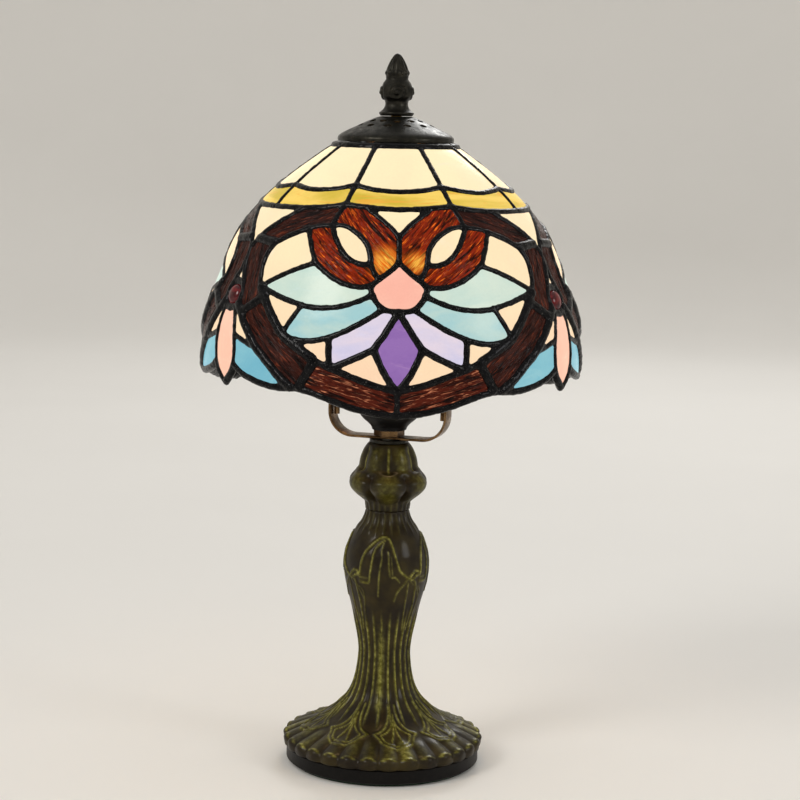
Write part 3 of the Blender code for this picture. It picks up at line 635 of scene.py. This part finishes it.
def build_leading():
    """The leading of each sector: cames run together by solder into one skin."""
    finish = lead_finish()
    for number, turn in enumerate(SECTORS, start=1):
        bm = bmesh.new()
        bm.from_mesh(built(placed("scrap", lead_curve(turn))))
        for angle, height in KNOTS.values():
            for a in {angle, -angle} if angle < 60 else {60}:
                lump = bmesh.ops.create_icosphere(bm, subdivisions=2, radius=LUMP_RADIUS * MM)["verts"]
                bmesh.ops.transform(bm, matrix=on_dome(a + turn, height, LUMP_FLAT), verts=lump)
        skin = placed("scrap", as_mesh(bm))
        remesh = skin.modifiers.new("skin", "REMESH")
        remesh.mode, remesh.voxel_size = "VOXEL", SKIN_VOXEL * MM
        bm = bmesh.new()
        bm.from_mesh(built(skin))
        for _ in range(2):
            bmesh.ops.smooth_vert(bm, verts=bm.verts[:], factor=0.5, use_axis_x=True, use_axis_y=True,
                                  use_axis_z=True)
        bm.normal_update()
        for vert in bm.verts:
            spot = vert.co / MM
            vert.co += vert.normal * MM * (0.22 * noise.noise(spot / 3.4) + 0.1 * noise.noise(spot / 1.3))
        piece(f"leading_{number}", bm, [finish], "shade", ["shade_leading"])


def build_jewels():
    """Red pressed jewels in the side motifs, their glow from the bulb painted as emission."""
    finish = Finish("ruby_jewel", Roughness=0.08, IOR=1.5, Emission_Strength=1.0, Specular_IOR_Level=0.4)
    cloud = finish.noise(240.0, 3.0)
    colour = cloud.ease(0.35, 0.7).blend(seen(42, 2, 6), seen(104, 9, 16))
    finish.link(Emission_Color=colour, Base_Color=colour.scaled(0.2))
    for number, turn in enumerate(SECTORS, start=1):
        bm = bmesh.new()
        bmesh.ops.create_uvsphere(bm, u_segments=40, v_segments=20, radius=JEWEL_RADIUS * MM)
        bmesh.ops.transform(bm, matrix=on_dome(60 + turn, JEWEL_HEIGHT, JEWEL_FLAT), verts=bm.verts)
        piece(f"ruby_{number}", bm, [finish.material], "shade", [f"jewel_{number}"])


# ---------------------------------------------------------------- turned castings

def turned(section, steps):
    """A closed section of (radius, height) spun about the lamp's axis."""
    bm = bmesh.new()
    verts = [bm.verts.new((r * MM, 0.0, z * MM)) for r, z in section]
    edges = [bm.edges.new(pair) for pair in zip(verts, verts[1:] + verts[:1])]
    bmesh.ops.spin(bm, geom=verts + edges, cent=(0, 0, 0), axis=(0, 0, 1), angle=2 * math.pi,
                   steps=steps, use_merge=True)
    bmesh.ops.remove_doubles(bm, verts=bm.verts[:], dist=1e-6)
    bmesh.ops.recalc_face_normals(bm, faces=bm.faces[:])
    return bm


def even_section(profile, gap):
    """Points about a gap apart down a turned outline."""
    spots = np.linspace(0.0, profile.along[-1], round(profile.along[-1] / gap) + 1)
    return [(float(profile.radius_at(s)), float(profile.height_at(s))) for s in spots]


class Skin:
    """The outside of a turned casting as arrays, to raise relief on, to gild and to mark painted highlights
    on.
    """

    def __init__(self, bm, profile):
        co = np.array([v.co[:] for v in bm.verts]) / MM
        radius = np.hypot(co[:, 0], co[:, 1])
        along = profile.along_at(co[:, 2])
        self.bm, self.profile = bm, profile
        self.out = np.abs(radius - profile.radius_at(along)) < 0.02
        self.angle = np.degrees(np.arctan2(co[:, 0], -co[:, 1]))
        self.along, self.radius, self.height = along, radius, co[:, 2]
        self.relief, self.gild_and_highlight = np.zeros(len(co)), np.zeros(len(co))

    def folded(self, period, centre=0.0):
        """Angle from the nearest repeat of a pattern, the same on both sides of it."""
        return np.abs((self.angle - centre + period / 2) % period - period / 2)

    def wrapped(self, period, centre=0.0):
        """Signed angle from the nearest repeat of a pattern."""
        return (self.angle - centre + period / 2) % period - period / 2

    def nearness(self, angle, line, width):
        """1 on a line of (angle, distance along) and 0 away from it."""
        best = np.full(len(angle), 1e9)
        for (a0, s0), (a1, s1) in zip(line, line[1:]):
            x0, y0 = self.radius * np.radians(a0 - angle), s0 - self.along
            dx, dy = self.radius * math.radians(a1 - a0), s1 - s0
            t = np.clip(-(x0 * dx + y0 * dy) / (dx * dx + dy * dy + 1e-9), 0, 1)
            best = np.minimum(best, np.hypot(x0 + t * dx, y0 + t * dy))
        return np.exp(-(best / width) ** 2)

    def raise_by(self, shape, height, gilt=1.0):
        self.relief = np.maximum(self.relief, shape * height)
        self.gild_and_highlight = np.maximum(self.gild_and_highlight, shape ** 1.6 * gilt)

    def done(self):
        """Moves the outside out by its relief and keeps the gilding, with its painted highlights, as an
        attribute.
        """
        layer = self.bm.verts.layers.float.new("gild_and_highlight")
        across, up = self.profile.out_at(self.along)
        for i, vert in enumerate(self.bm.verts):
            if self.out[i]:
                turn = math.radians(self.angle[i])
                move = self.relief[i] * MM
                vert.co += Vector((across[i] * math.sin(turn), -across[i] * math.cos(turn), up[i])) * move
                vert[layer] = float(self.gild_and_highlight[i])
        return self.bm


def between(values, low, high):
    """0 at low, 1 at high, smooth between, for arrays."""
    t = np.clip((values - low) / (high - low), 0.0, 1.0)
    return t * t * (3 - 2 * t)


BODY = Profile([(11.6, 141.7), (12.2, 138.5), (13.9, 134.6), (16.6, 131), (19, 127), (21, 122.3),
                (22.6, 117.5), (23.3, 111), (22.8, 104), (21.3, 97), (19.4, 90), (17.3, 83), (15.6, 76.5),
                (14.3, 70), (13.5, 63), (13.8, 57), (14.8, 49.5), (16.8, 42), (20, 36), (25, 30.8),
                (31, 26.2), (38, 22), (45, 18.8), (52, 15.6), (54, 13.4), (54.4, 11.6), (54, 9.6)])
BODY_HOLLOW = [(49.5, 9.6), (49.5, 12.2), (44, 15.2), (29, 23.3), (17, 35), (11.2, 50), (10.5, 68), (18, 97),
               (19.6, 108), (16, 122), (5.15, 134), (5.15, 141.7)]
# Relief lines of the body as (angle, height), then width, height and gilding. Four times round
LEAF_LINES = (
    ([(0, 128.6), (4.5, 127.6), (8, 125), (12.3, 119.7), (16.8, 113.5), (19.8, 111), (26, 108.6),
      (32.8, 106.9), (38, 109), (44, 110.6), (51.6, 109.5)], 0.62, 0.85, 0.9),
    ([(0, 128.6), (-10, 128.2), (-19.5, 125.9), (-30, 121.7), (-35.3, 116.4), (-36.9, 111), (-38.4, 108.5),
      (-43.5, 108.1), (-52, 106), (-57.2, 106.9)], 0.62, 0.85, 0.9),
    ([(-3, 127.2), (-9.4, 125.5), (-16.8, 122.2), (-19.9, 115.5), (-21.7, 109.3), (-24.3, 104.4),
      (-38, 104.5)], 0.55, 0.75, 0.85),
    ([(-22, 106.4), (-38, 106.6)], 0.4, 0.4, 0.5),
    ([(8, 107.9), (11, 107.9), (14.5, 107), (18.6, 105.2)], 0.5, 0.6, 0.7),
    ([(-4, 125.6), (-6.8, 121.7), (-6.1, 117.6), (-8.5, 111), (-10.8, 97)], 0.5, 0.55, 0.65),
    ([(2.4, 121.5), (3.3, 118), (3.8, 113.5), (5.3, 108.5)], 0.5, 0.5, 0.6),
    ([(6.4, 119), (7.5, 116), (8.6, 109.5)], 0.42, 0.4, 0.4),
    ([(32.8, 106.9), (24, 102.7), (16.7, 99), (12.9, 94)], 0.55, 0.55, 0.45),
    ([(-46, 103.6), (-39.5, 99.4), (-33.6, 94.9)], 0.5, 0.4, 0.35),
    ([(34, 106.6), (43.6, 104.4), (46.2, 99), (47.9, 88.7), (43.8, 76.3)], 0.6, 0.6, 0.55),
    ([(-57, 106.5), (-49, 103), (-36, 100.6), (-33, 97), (-35, 88), (-40, 77)], 0.45, 0.4, 0.3),
    ([(-58, 104), (-57.5, 88.7), (-54.6, 76.3)], 0.5, 0.5, 0.5),
)
LEAF_TURN, FOLD_TURN, TULIP_TURN = -2.0, -8.0, 10.0       # where the patterns start, in degrees
# Relief lines of the foot as (angle, radius), then width and height. Eight times round, and mirrored
TULIP_LINES = (
    ([(5, 19.5), (5, 24), (8, 29), (13, 33), (19.5, 35.2)], 0.62, 0.75),
    ([(19.5, 35.2), (14.5, 38), (11.5, 41.6), (6, 44.6), (0, 45.6)], 0.62, 0.75),
    ([(0, 25.5), (2.5, 29.5), (7, 33), (13.2, 35.6)], 0.5, 0.55),
    ([(13.2, 35.6), (10.5, 38.6), (7.4, 41.4), (0, 43.2)], 0.5, 0.55),
    ([(0, 24), (1.2, 32), (4.2, 40.5)], 0.5, 0.5),
)


def folds(skin):
    """Fine upright ridges, 24 round the stem."""
    return np.exp(-(skin.radius * np.radians(skin.folded(15.0, FOLD_TURN)) / 0.7) ** 2)


def raise_leaves(skin):
    leaf = skin.wrapped(90.0, LEAF_TURN)
    for line, width, height, gilt in LEAF_LINES:
        points = [(a, float(BODY.along_at(z))) for a, z in smooth_line(line, 4)]
        near = [skin.nearness(leaf + turn, points, width) for turn in (-90.0, 0.0, 90.0)]
        skin.raise_by(np.maximum.reduce(near), height, gilt)


def raise_tulips(skin):
    tulip = skin.folded(45.0, TULIP_TURN)
    foot = BODY.along > BODY.along_at(36.0)
    for line, width, height in TULIP_LINES:
        points = [(a, float(np.interp(r, BODY.radius[foot], BODY.along[foot])))
                  for a, r in smooth_line(line, 5)]
        skin.raise_by(skin.nearness(tulip, points, width), height, 0.8)


def raise_drapery(skin):
    """Ridges down the waist, with a painted highlight down the front one, and fainter ones up the neck."""
    waist = np.where(skin.height < 60, between(skin.radius, 33, 25), between(skin.height, 92, 76))
    skin.raise_by(folds(skin) * waist, 0.95, 0.8)
    # Painted highlight: a bright stripe of gold down the front ridge of the waist.
    painted_front_highlight = np.exp(-(skin.radius * np.radians(skin.angle - FOLD_TURN + 1.0) / 1.5) ** 2)
    reach = np.where(skin.height < 60, between(skin.radius, 25, 19), between(skin.height, 84, 66))
    skin.gild_and_highlight = np.maximum(skin.gild_and_highlight, 0.85 * painted_front_highlight * reach)
    neck = between(skin.height, 127.5, 133) * between(skin.height, 141.6, 140)
    skin.raise_by(folds(skin) * neck, 0.4, 0.12)


def build_base():
    """The foot, waist and body: one hollow casting with drapery, leaves, tulips and a rolled edge."""
    skin = Skin(turned(even_section(BODY, 0.92) + BODY_HOLLOW, 360), BODY)
    raise_leaves(skin)
    raise_tulips(skin)
    raise_drapery(skin)
    raise_foot_edge(skin)
    piece("foot_and_body", skin.done(), [BRONZE], "lamp_frame", ["base_casting"])


def raise_foot_edge(skin):
    """Radial lobes over the foot that end in small rolled beads round its edge, each with a painted highlight
    on its upper side.
    """
    lobe = np.abs(np.cos(np.radians(15.0 * (skin.angle - 2.0)))) ** 0.8
    low = (skin.height < 30) * between(skin.radius, 36, 46)
    mottle = 0.5 + 0.5 * np.sin(np.radians(skin.angle * 7.0)) * np.sin(np.radians(skin.angle * 3.0 + 40.0))
    skin.relief += (lobe - 0.55) * low * 1.15
    skin.gild_and_highlight = np.maximum(skin.gild_and_highlight, (0.05 + 0.6 * mottle ** 2) * low * lobe ** 2 * (skin.height > 15.5))
    x = skin.radius * np.radians(skin.folded(12.0, 2.0)) / 4.2
    y = (skin.along - BODY.along_at(14.1)) / 2.1
    reach = np.hypot(x, y)
    skin.relief += np.clip(1.0 - reach ** 2, 0.0, 1.0) ** 0.7 * 1.0
    # Painted highlight: a bright arc along the upper side of each bead.
    skin.gild_and_highlight = np.maximum(skin.gild_and_highlight, 0.9 * np.exp(-((reach - 0.8) / 0.22) ** 2) * (y < -0.25))
    skin.relief -= 0.3 * (skin.height < 34) * between(skin.radius, 24, 30) * (1 - low)


KNOB = Profile([(10.9, 178.3), (12.2, 176.8), (13.7, 174.4), (15.2, 170.6), (15.9, 167.4), (16.3, 165.2),
                (17.6, 163.6), (19.9, 161.4), (21.9, 158.8), (22.3, 156.4), (21.4, 153.6), (18.9, 150.8),
                (15.6, 148.2), (12.9, 146.2), (12.1, 144), (11.8, 141.8)])


def build_knob():
    """The lobed knob under the socket, two tiers of six."""
    skin = Skin(turned(even_section(KNOB, 0.6) + [(5.15, 141.8), (5.15, 178.3)], 240), KNOB)
    upper = between(skin.height, 162.6, 165.5) * between(skin.height, 178.0, 174.5)
    lower = between(skin.height, 144.0, 149.0) * between(skin.height, 163.9, 161.5)
    skin.raise_by(folds(skin) * between(skin.height, 148.5, 145.5), 0.4, 0.12)
    for mask, centre in ((upper, 28.0), (lower, -2.0)):
        lobe = np.abs(np.cos(np.radians(3.0 * (skin.angle - centre))))
        skin.relief -= mask * (1.0 - lobe ** 0.62) * 2.5
        skin.gild_and_highlight = np.maximum(skin.gild_and_highlight, mask * lobe ** 3 * 0.3)
    seam = np.exp(-(skin.radius * np.radians(skin.folded(60.0, -2.0)) / 0.6) ** 2) * upper
    skin.relief += seam * 0.8
    skin.gild_and_highlight = np.maximum(skin.gild_and_highlight, seam * 0.9)
    piece("lobed_knob", skin.done(), [BRONZE], "lamp_frame", ["knob_casting"])


CAP = Profile([(3.4, 354.6), (8.8, 354.5), (14, 352.6), (20.7, 349.5), (26, 347), (29.3, 345.2),
               (30.9, 343.7), (31.2, 342.5), (31.0, 341.2)])
CAP_UNDER = [(29.5, 341.3), (29.4, 342.6), (28.2, 343.7), (25, 346.1), (18.8, 349.2), (12.4, 352.2),
             (8.6, 353.2), (3.4, 353.2)]


def cut_out(bm, cutter):
    """The mesh with the cutter's shape taken out of it."""
    kept, taken = placed("scrap", as_mesh(bm)), placed("scrap", as_mesh(cutter))
    cut = kept.modifiers.new("cut", "BOOLEAN")
    cut.operation, cut.object, cut.solver = "DIFFERENCE", taken, "EXACT"
    result = bmesh.new()
    result.from_mesh(built(kept))
    bpy.data.objects.remove(taken)
    return result


def rod(bm, radius, depth, segments, place):
    """A round bar of the cutter, set by a transform."""
    verts = bmesh.ops.create_cone(bm, cap_ends=True, segments=segments, radius1=radius * MM,
                                  radius2=radius * MM, depth=depth * MM)["verts"]
    bmesh.ops.transform(bm, matrix=place, verts=verts)


def build_cap():
    """The vented cap, with two rows of small oval holes."""
    bm = bmesh.new()
    for radius, height, shift in ((14.6, 352.4, 0.0), (19.8, 350.1, 15.0)):
        for step in range(12):
            rod(bm, 1.3, 9, 20, Matrix.Rotation(math.radians(30 * step + shift), 4, "Z")
                @ Matrix.Translation((0, -radius * MM, height * MM))
                @ Matrix.Rotation(math.radians(25), 4, "X") @ Matrix.Diagonal((1.75, 1.2, 1, 1)))
    skin = cut_out(turned(even_section(CAP, 0.8) + CAP_UNDER, 160), bm)
    piece("vented_cap", skin, [BLACK_METAL], "shade", ["shade_cap"], sharp=40)


FINIAL = Profile([(0.01, 388), (1.6, 387.3), (3.4, 385), (4.9, 382.2), (5.9, 379.6), (6.2, 377), (5.8, 374.7),
                  (7.1, 372.7), (8.6, 370), (9.0, 367.4), (8.4, 364.9), (6.6, 363), (6.1, 361.7),
                  (6.3, 360.1), (7.1, 358.6), (8.3, 357.4), (9.2, 356.7), (9.3, 356), (8.8, 355.3),
                  (8.5, 354.9)])


def build_finial():
    """The finial: a flared foot, a ball with four scroll rosettes, a beaded collar and a fluted bud."""
    skin = Skin(turned(even_section(FINIAL, 0.3) + [(4.9, 354.9), (4.9, 368.3), (0.01, 368.3)], 144), FINIAL)
    bud = between(skin.height, 378.6, 380.0) * between(skin.height, 387.8, 385.5)
    skin.relief -= bud * (1 - np.abs(np.cos(np.radians(5.0 * skin.angle)))) * 0.55
    collar = np.exp(-((skin.height - 377.6) / 1.0) ** 2)
    skin.relief += collar * (np.abs(np.cos(np.radians(7.0 * skin.angle))) ** 0.6) * 0.55
    leaves = np.exp(-((skin.height - 375.2) / 0.7) ** 2)
    skin.relief += leaves * 0.25
    x = 8.5 * np.radians((skin.angle + 45) % 90 - 45)
    y = skin.height - 367.6
    reach = np.hypot(x, y)
    scroll = np.cos(np.arctan2(y, x) + reach * 2.1)
    skin.relief += between(reach, 5.2, 4.2) * (scroll * 0.42 - 0.1) * between(reach, 0.2, 0.9)
    skin.relief += np.exp(-(reach / 0.8) ** 2) * 0.4
    piece("finial_bud", skin.done(), [BLACK_METAL], "finial", ["finial"])


# ---------------------------------------------------------------- harp strip and bulb

def build_saddle():
    """The bent brass strip that carries the harp, with its edges eased."""
    reach, bend, low, top, half_width = 33.0, 13.0, 181.1, 206.0, 5.5
    lines = []
    for shift in (-0.65, 0.65):
        curve = bend - shift
        half = [(x, low + shift) for x in (0.0, 7.0, 14.0)]
        turns = (0.5 * math.pi * step / 12 for step in range(13))
        half += [(reach - bend + curve * math.sin(t), low + bend - curve * math.cos(t)) for t in turns]
        half.append((reach - bend + curve, top))
        lines.append([(-x, z) for x, z in half[:0:-1]] + half)
    bm = bmesh.new()
    outline = lines[0] + lines[1][::-1]
    face = bm.faces.new([bm.verts.new((x * MM, -half_width * MM, z * MM)) for x, z in outline])
    pushed = bmesh.ops.extrude_face_region(bm, geom=[face])["geom"]
    bmesh.ops.translate(bm, vec=(0, 2 * half_width * MM, 0),
                        verts=[item for item in pushed if isinstance(item, bmesh.types.BMVert)])
    bmesh.ops.recalc_face_normals(bm, faces=bm.faces[:])
    sharp = [e for e in bm.edges if len(e.link_faces) == 2 and e.calc_face_angle() > 0.9]
    bmesh.ops.bevel(bm, geom=sharp, offset=0.3 * MM, segments=3, profile=0.5, affect="EDGES", material=-1)
    bmesh.ops.rotate(bm, cent=(0, 0, 0), matrix=Matrix.Rotation(math.radians(-20), 3, "Z"), verts=bm.verts[:])
    piece("harp_strip", bm, [BRASS_OLD], "lamp_frame", ["harp_saddle"], sharp=35)


PLINTH = [(44, 1.6), (52.6, 1.6), (53.2, 2.2), (53.2, 8.7), (52.6, 9.25), (44, 9.25)]
CUP = [(16.4, 201), (16.45, 197), (16.2, 193.9), (14.4, 191.4), (11.8, 189.2), (10, 187.2), (9.3, 185.5)]
CUP_INSIDE = [(5.3, 185.5), (5.3, 187.6), (8.6, 188.2), (10.8, 190.2), (13.4, 192.2), (15.4, 194.2),
              (15.4, 201)]


def build_plinth():
    """The black ring under the foot, with the cord's hole at its back, and the socket's cup."""
    black = plain("black_enamel", seen(14, 12, 11), seen(6, 5, 5), 0.45, 500.0, Specular_IOR_Level=0.15)
    bm = bmesh.new()
    back, middle, hole_radius = 49, 5.4, 4.35
    rod(bm, hole_radius, 20, 32,
        Matrix.Translation((0, back * MM, middle * MM)) @ Matrix.Rotation(math.pi / 2, 4, "X"))
    ring = cut_out(turned(PLINTH, 180), bm)
    piece("plinth", ring, [black], "lamp_frame", ["plinth_ring"], sharp=40)
    cup = turned([tuple(p) for p in smooth_line(CUP, 5)] + CUP_INSIDE, 96)
    piece("socket_cup", cup, [black], "lamp_frame", ["socket_cap"], sharp=40)


def build_bulb():
    """The pear-shaped bulb, lit."""
    outline = Profile([(0.01, 314), (9, 312.7), (18, 308.4), (25.4, 300.8), (29.4, 291), (30, 282),
                       (28.2, 271.5), (23.6, 260.5), (18, 249.5), (14.2, 240), (12.6, 232), (12.6, 228.2)])
    bm = turned(even_section(outline, 2.2) + [(11.9, 228.2), (11.9, 232), (0.01, 238)], 64)
    finish = Finish("lit_bulb", Roughness=0.2, Emission_Strength=9.0)
    cloud = finish.noise(60.0, 2.0)
    warm = cloud.ease(0.2, 0.8).blend(seen(255, 206, 150), seen(255, 226, 184))
    finish.link(Emission_Color=warm, Base_Color=warm)
    piece("pear_bulb", bm, [finish.material], "bulb_glass", ["bulb_glass"])


def finish_nodes():
    """Finishes for the CAD nodes that stay."""
    steel = metal("zinc_steel", seen(190, 188, 180), seen(140, 138, 132), 0.35)
    brass = metal("bright_brass", seen(212, 170, 90), seen(150, 112, 52), 0.3)
    finishes = {
        "stem_washer": BLACK_METAL,
        "cord_bushing": plain("black_nylon", seen(30, 30, 31), seen(18, 18, 19), 0.5, 900.0),
        "felt_pad": plain("green_felt", seen(44, 66, 50), seen(22, 38, 28), 0.95, 2600.0, 0.0006),
        "ballast_plate": plain("raw_iron", seen(74, 72, 70), seen(46, 44, 43), 0.75, 700.0, 0.0004),
        "socket_core": plain("glazed_porcelain", seen(232, 228, 218), seen(214, 208, 196), 0.2, 120.0),
        "threaded_tube": steel, "base_nut": steel, "screw_shell": steel, "bulb_cap": steel,
        "harp_bow": BRASS_OLD, "socket_nut": BRASS_OLD,
        "harp_stud": brass, "socket_shell": brass, "centre_contact": brass, "finial_bush": brass,
    }
    for name, finish in finishes.items():
        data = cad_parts[name].data
        data.materials.clear()
        data.materials.append(finish)


# ---------------------------------------------------------------- floor, light and camera

def build_stage():
    """A pale floor that curves up into a wall all round."""
    floor_finish = Finish("pale_floor", Specular_IOR_Level=0.2)
    grain = floor_finish.noise(3.0, 4.0)
    floor_finish.link(Base_Color=grain.blend(seen(234, 232, 228), seen(240, 238, 234)),
                      Roughness=grain * 0.1 + 0.6)
    bm = bmesh.new()
    flat, bend, top = 2.2, 1.0, 3.0
    turns = (math.pi / 2 * i / 10 for i in range(1, 11))
    cove = [(flat + bend * math.sin(t), bend - bend * math.cos(t)) for t in turns]
    line = [(0.0, 0.0), (1.2, 0.0), (flat, 0.0)] + cove + [(flat + bend, top)]
    verts = [bm.verts.new((r, 0.0, z)) for r, z in line]
    edges = [bm.edges.new(pair) for pair in zip(verts, verts[1:])]
    bmesh.ops.spin(bm, geom=verts + edges, cent=(0, 0, 0), axis=(0, 0, 1), angle=2 * math.pi, steps=96,
                   use_merge=True)
    bmesh.ops.remove_doubles(bm, verts=bm.verts[:], dist=1e-5)
    bmesh.ops.recalc_face_normals(bm, faces=bm.faces[:])
    mesh = as_mesh(bm, "floor")
    mesh.shade_smooth()
    mesh.materials.append(floor_finish.material)
    placed("floor", mesh)


def area_light(name, place, target, size, power, colour=(1, 1, 1)):
    lamp = bpy.data.lights.new(name, "AREA")
    lamp.shape, lamp.size, lamp.energy, lamp.color = "DISK", size, power, colour
    made = placed(name, lamp)
    made.location = place
    made.rotation_euler = (Vector(target) - Vector(place)).to_track_quat("-Z", "Y").to_euler()


def build_light():
    world = bpy.data.worlds.new("studio")
    bpy.context.scene.world = world
    world.use_nodes = True
    sky = world.node_tree.nodes["Background"].inputs
    sky["Color"].default_value, sky["Strength"].default_value = (*seen(205, 203, 200), 1.0), 1.0
    area_light("window", (-1.5, -1.3, 1.5), (0, 0, 0.2), 0.9, 17.0, (1.0, 0.98, 0.95))
    area_light("fill", (1.6, -1.0, 0.9), (0, 0, 0.2), 0.7, 6.0, (0.96, 0.98, 1.0))
    area_light("back", (0.5, 1.8, 1.4), (0, 0, 0.2), 0.8, 9.0)


def build_camera():
    """A long lens a little above the shade and to the left of the front, held slightly askew."""
    distance, height, tilt, roll, swing = 1.130, 0.358, 7.8, 1.3, -2.0
    lens = bpy.data.cameras.new("camera")
    lens.lens, lens.sensor_width = 94.2, 36.0
    lens.shift_x, lens.shift_y = 0.0125, -0.004
    camera = placed("camera", lens)
    aim = Matrix.Rotation(math.radians(90 - tilt), 4, "X") @ Matrix.Rotation(math.radians(roll), 4, "Z")
    camera.matrix_world = (Matrix.Rotation(math.radians(swing), 4, "Z")
                           @ Matrix.Translation((0.0, -distance, height)) @ aim)
    bpy.context.scene.camera = camera


BRONZE = gilded_bronze()
BLACK_METAL = metal("blackened_metal", seen(50, 48, 41), seen(26, 25, 21), 0.34, 0.85, 260.0)
BRASS_OLD = metal("antique_brass", seen(134, 106, 74), seen(70, 50, 30), 0.32, 1.0, 160.0)
build_panes()
build_leading()
build_jewels()
build_base()
build_knob()
build_cap()
build_finial()
build_saddle()
build_plinth()
build_bulb()
finish_nodes()
build_stage()
build_light()
build_camera()
bpy.context.scene.view_settings.view_transform = "Standard"
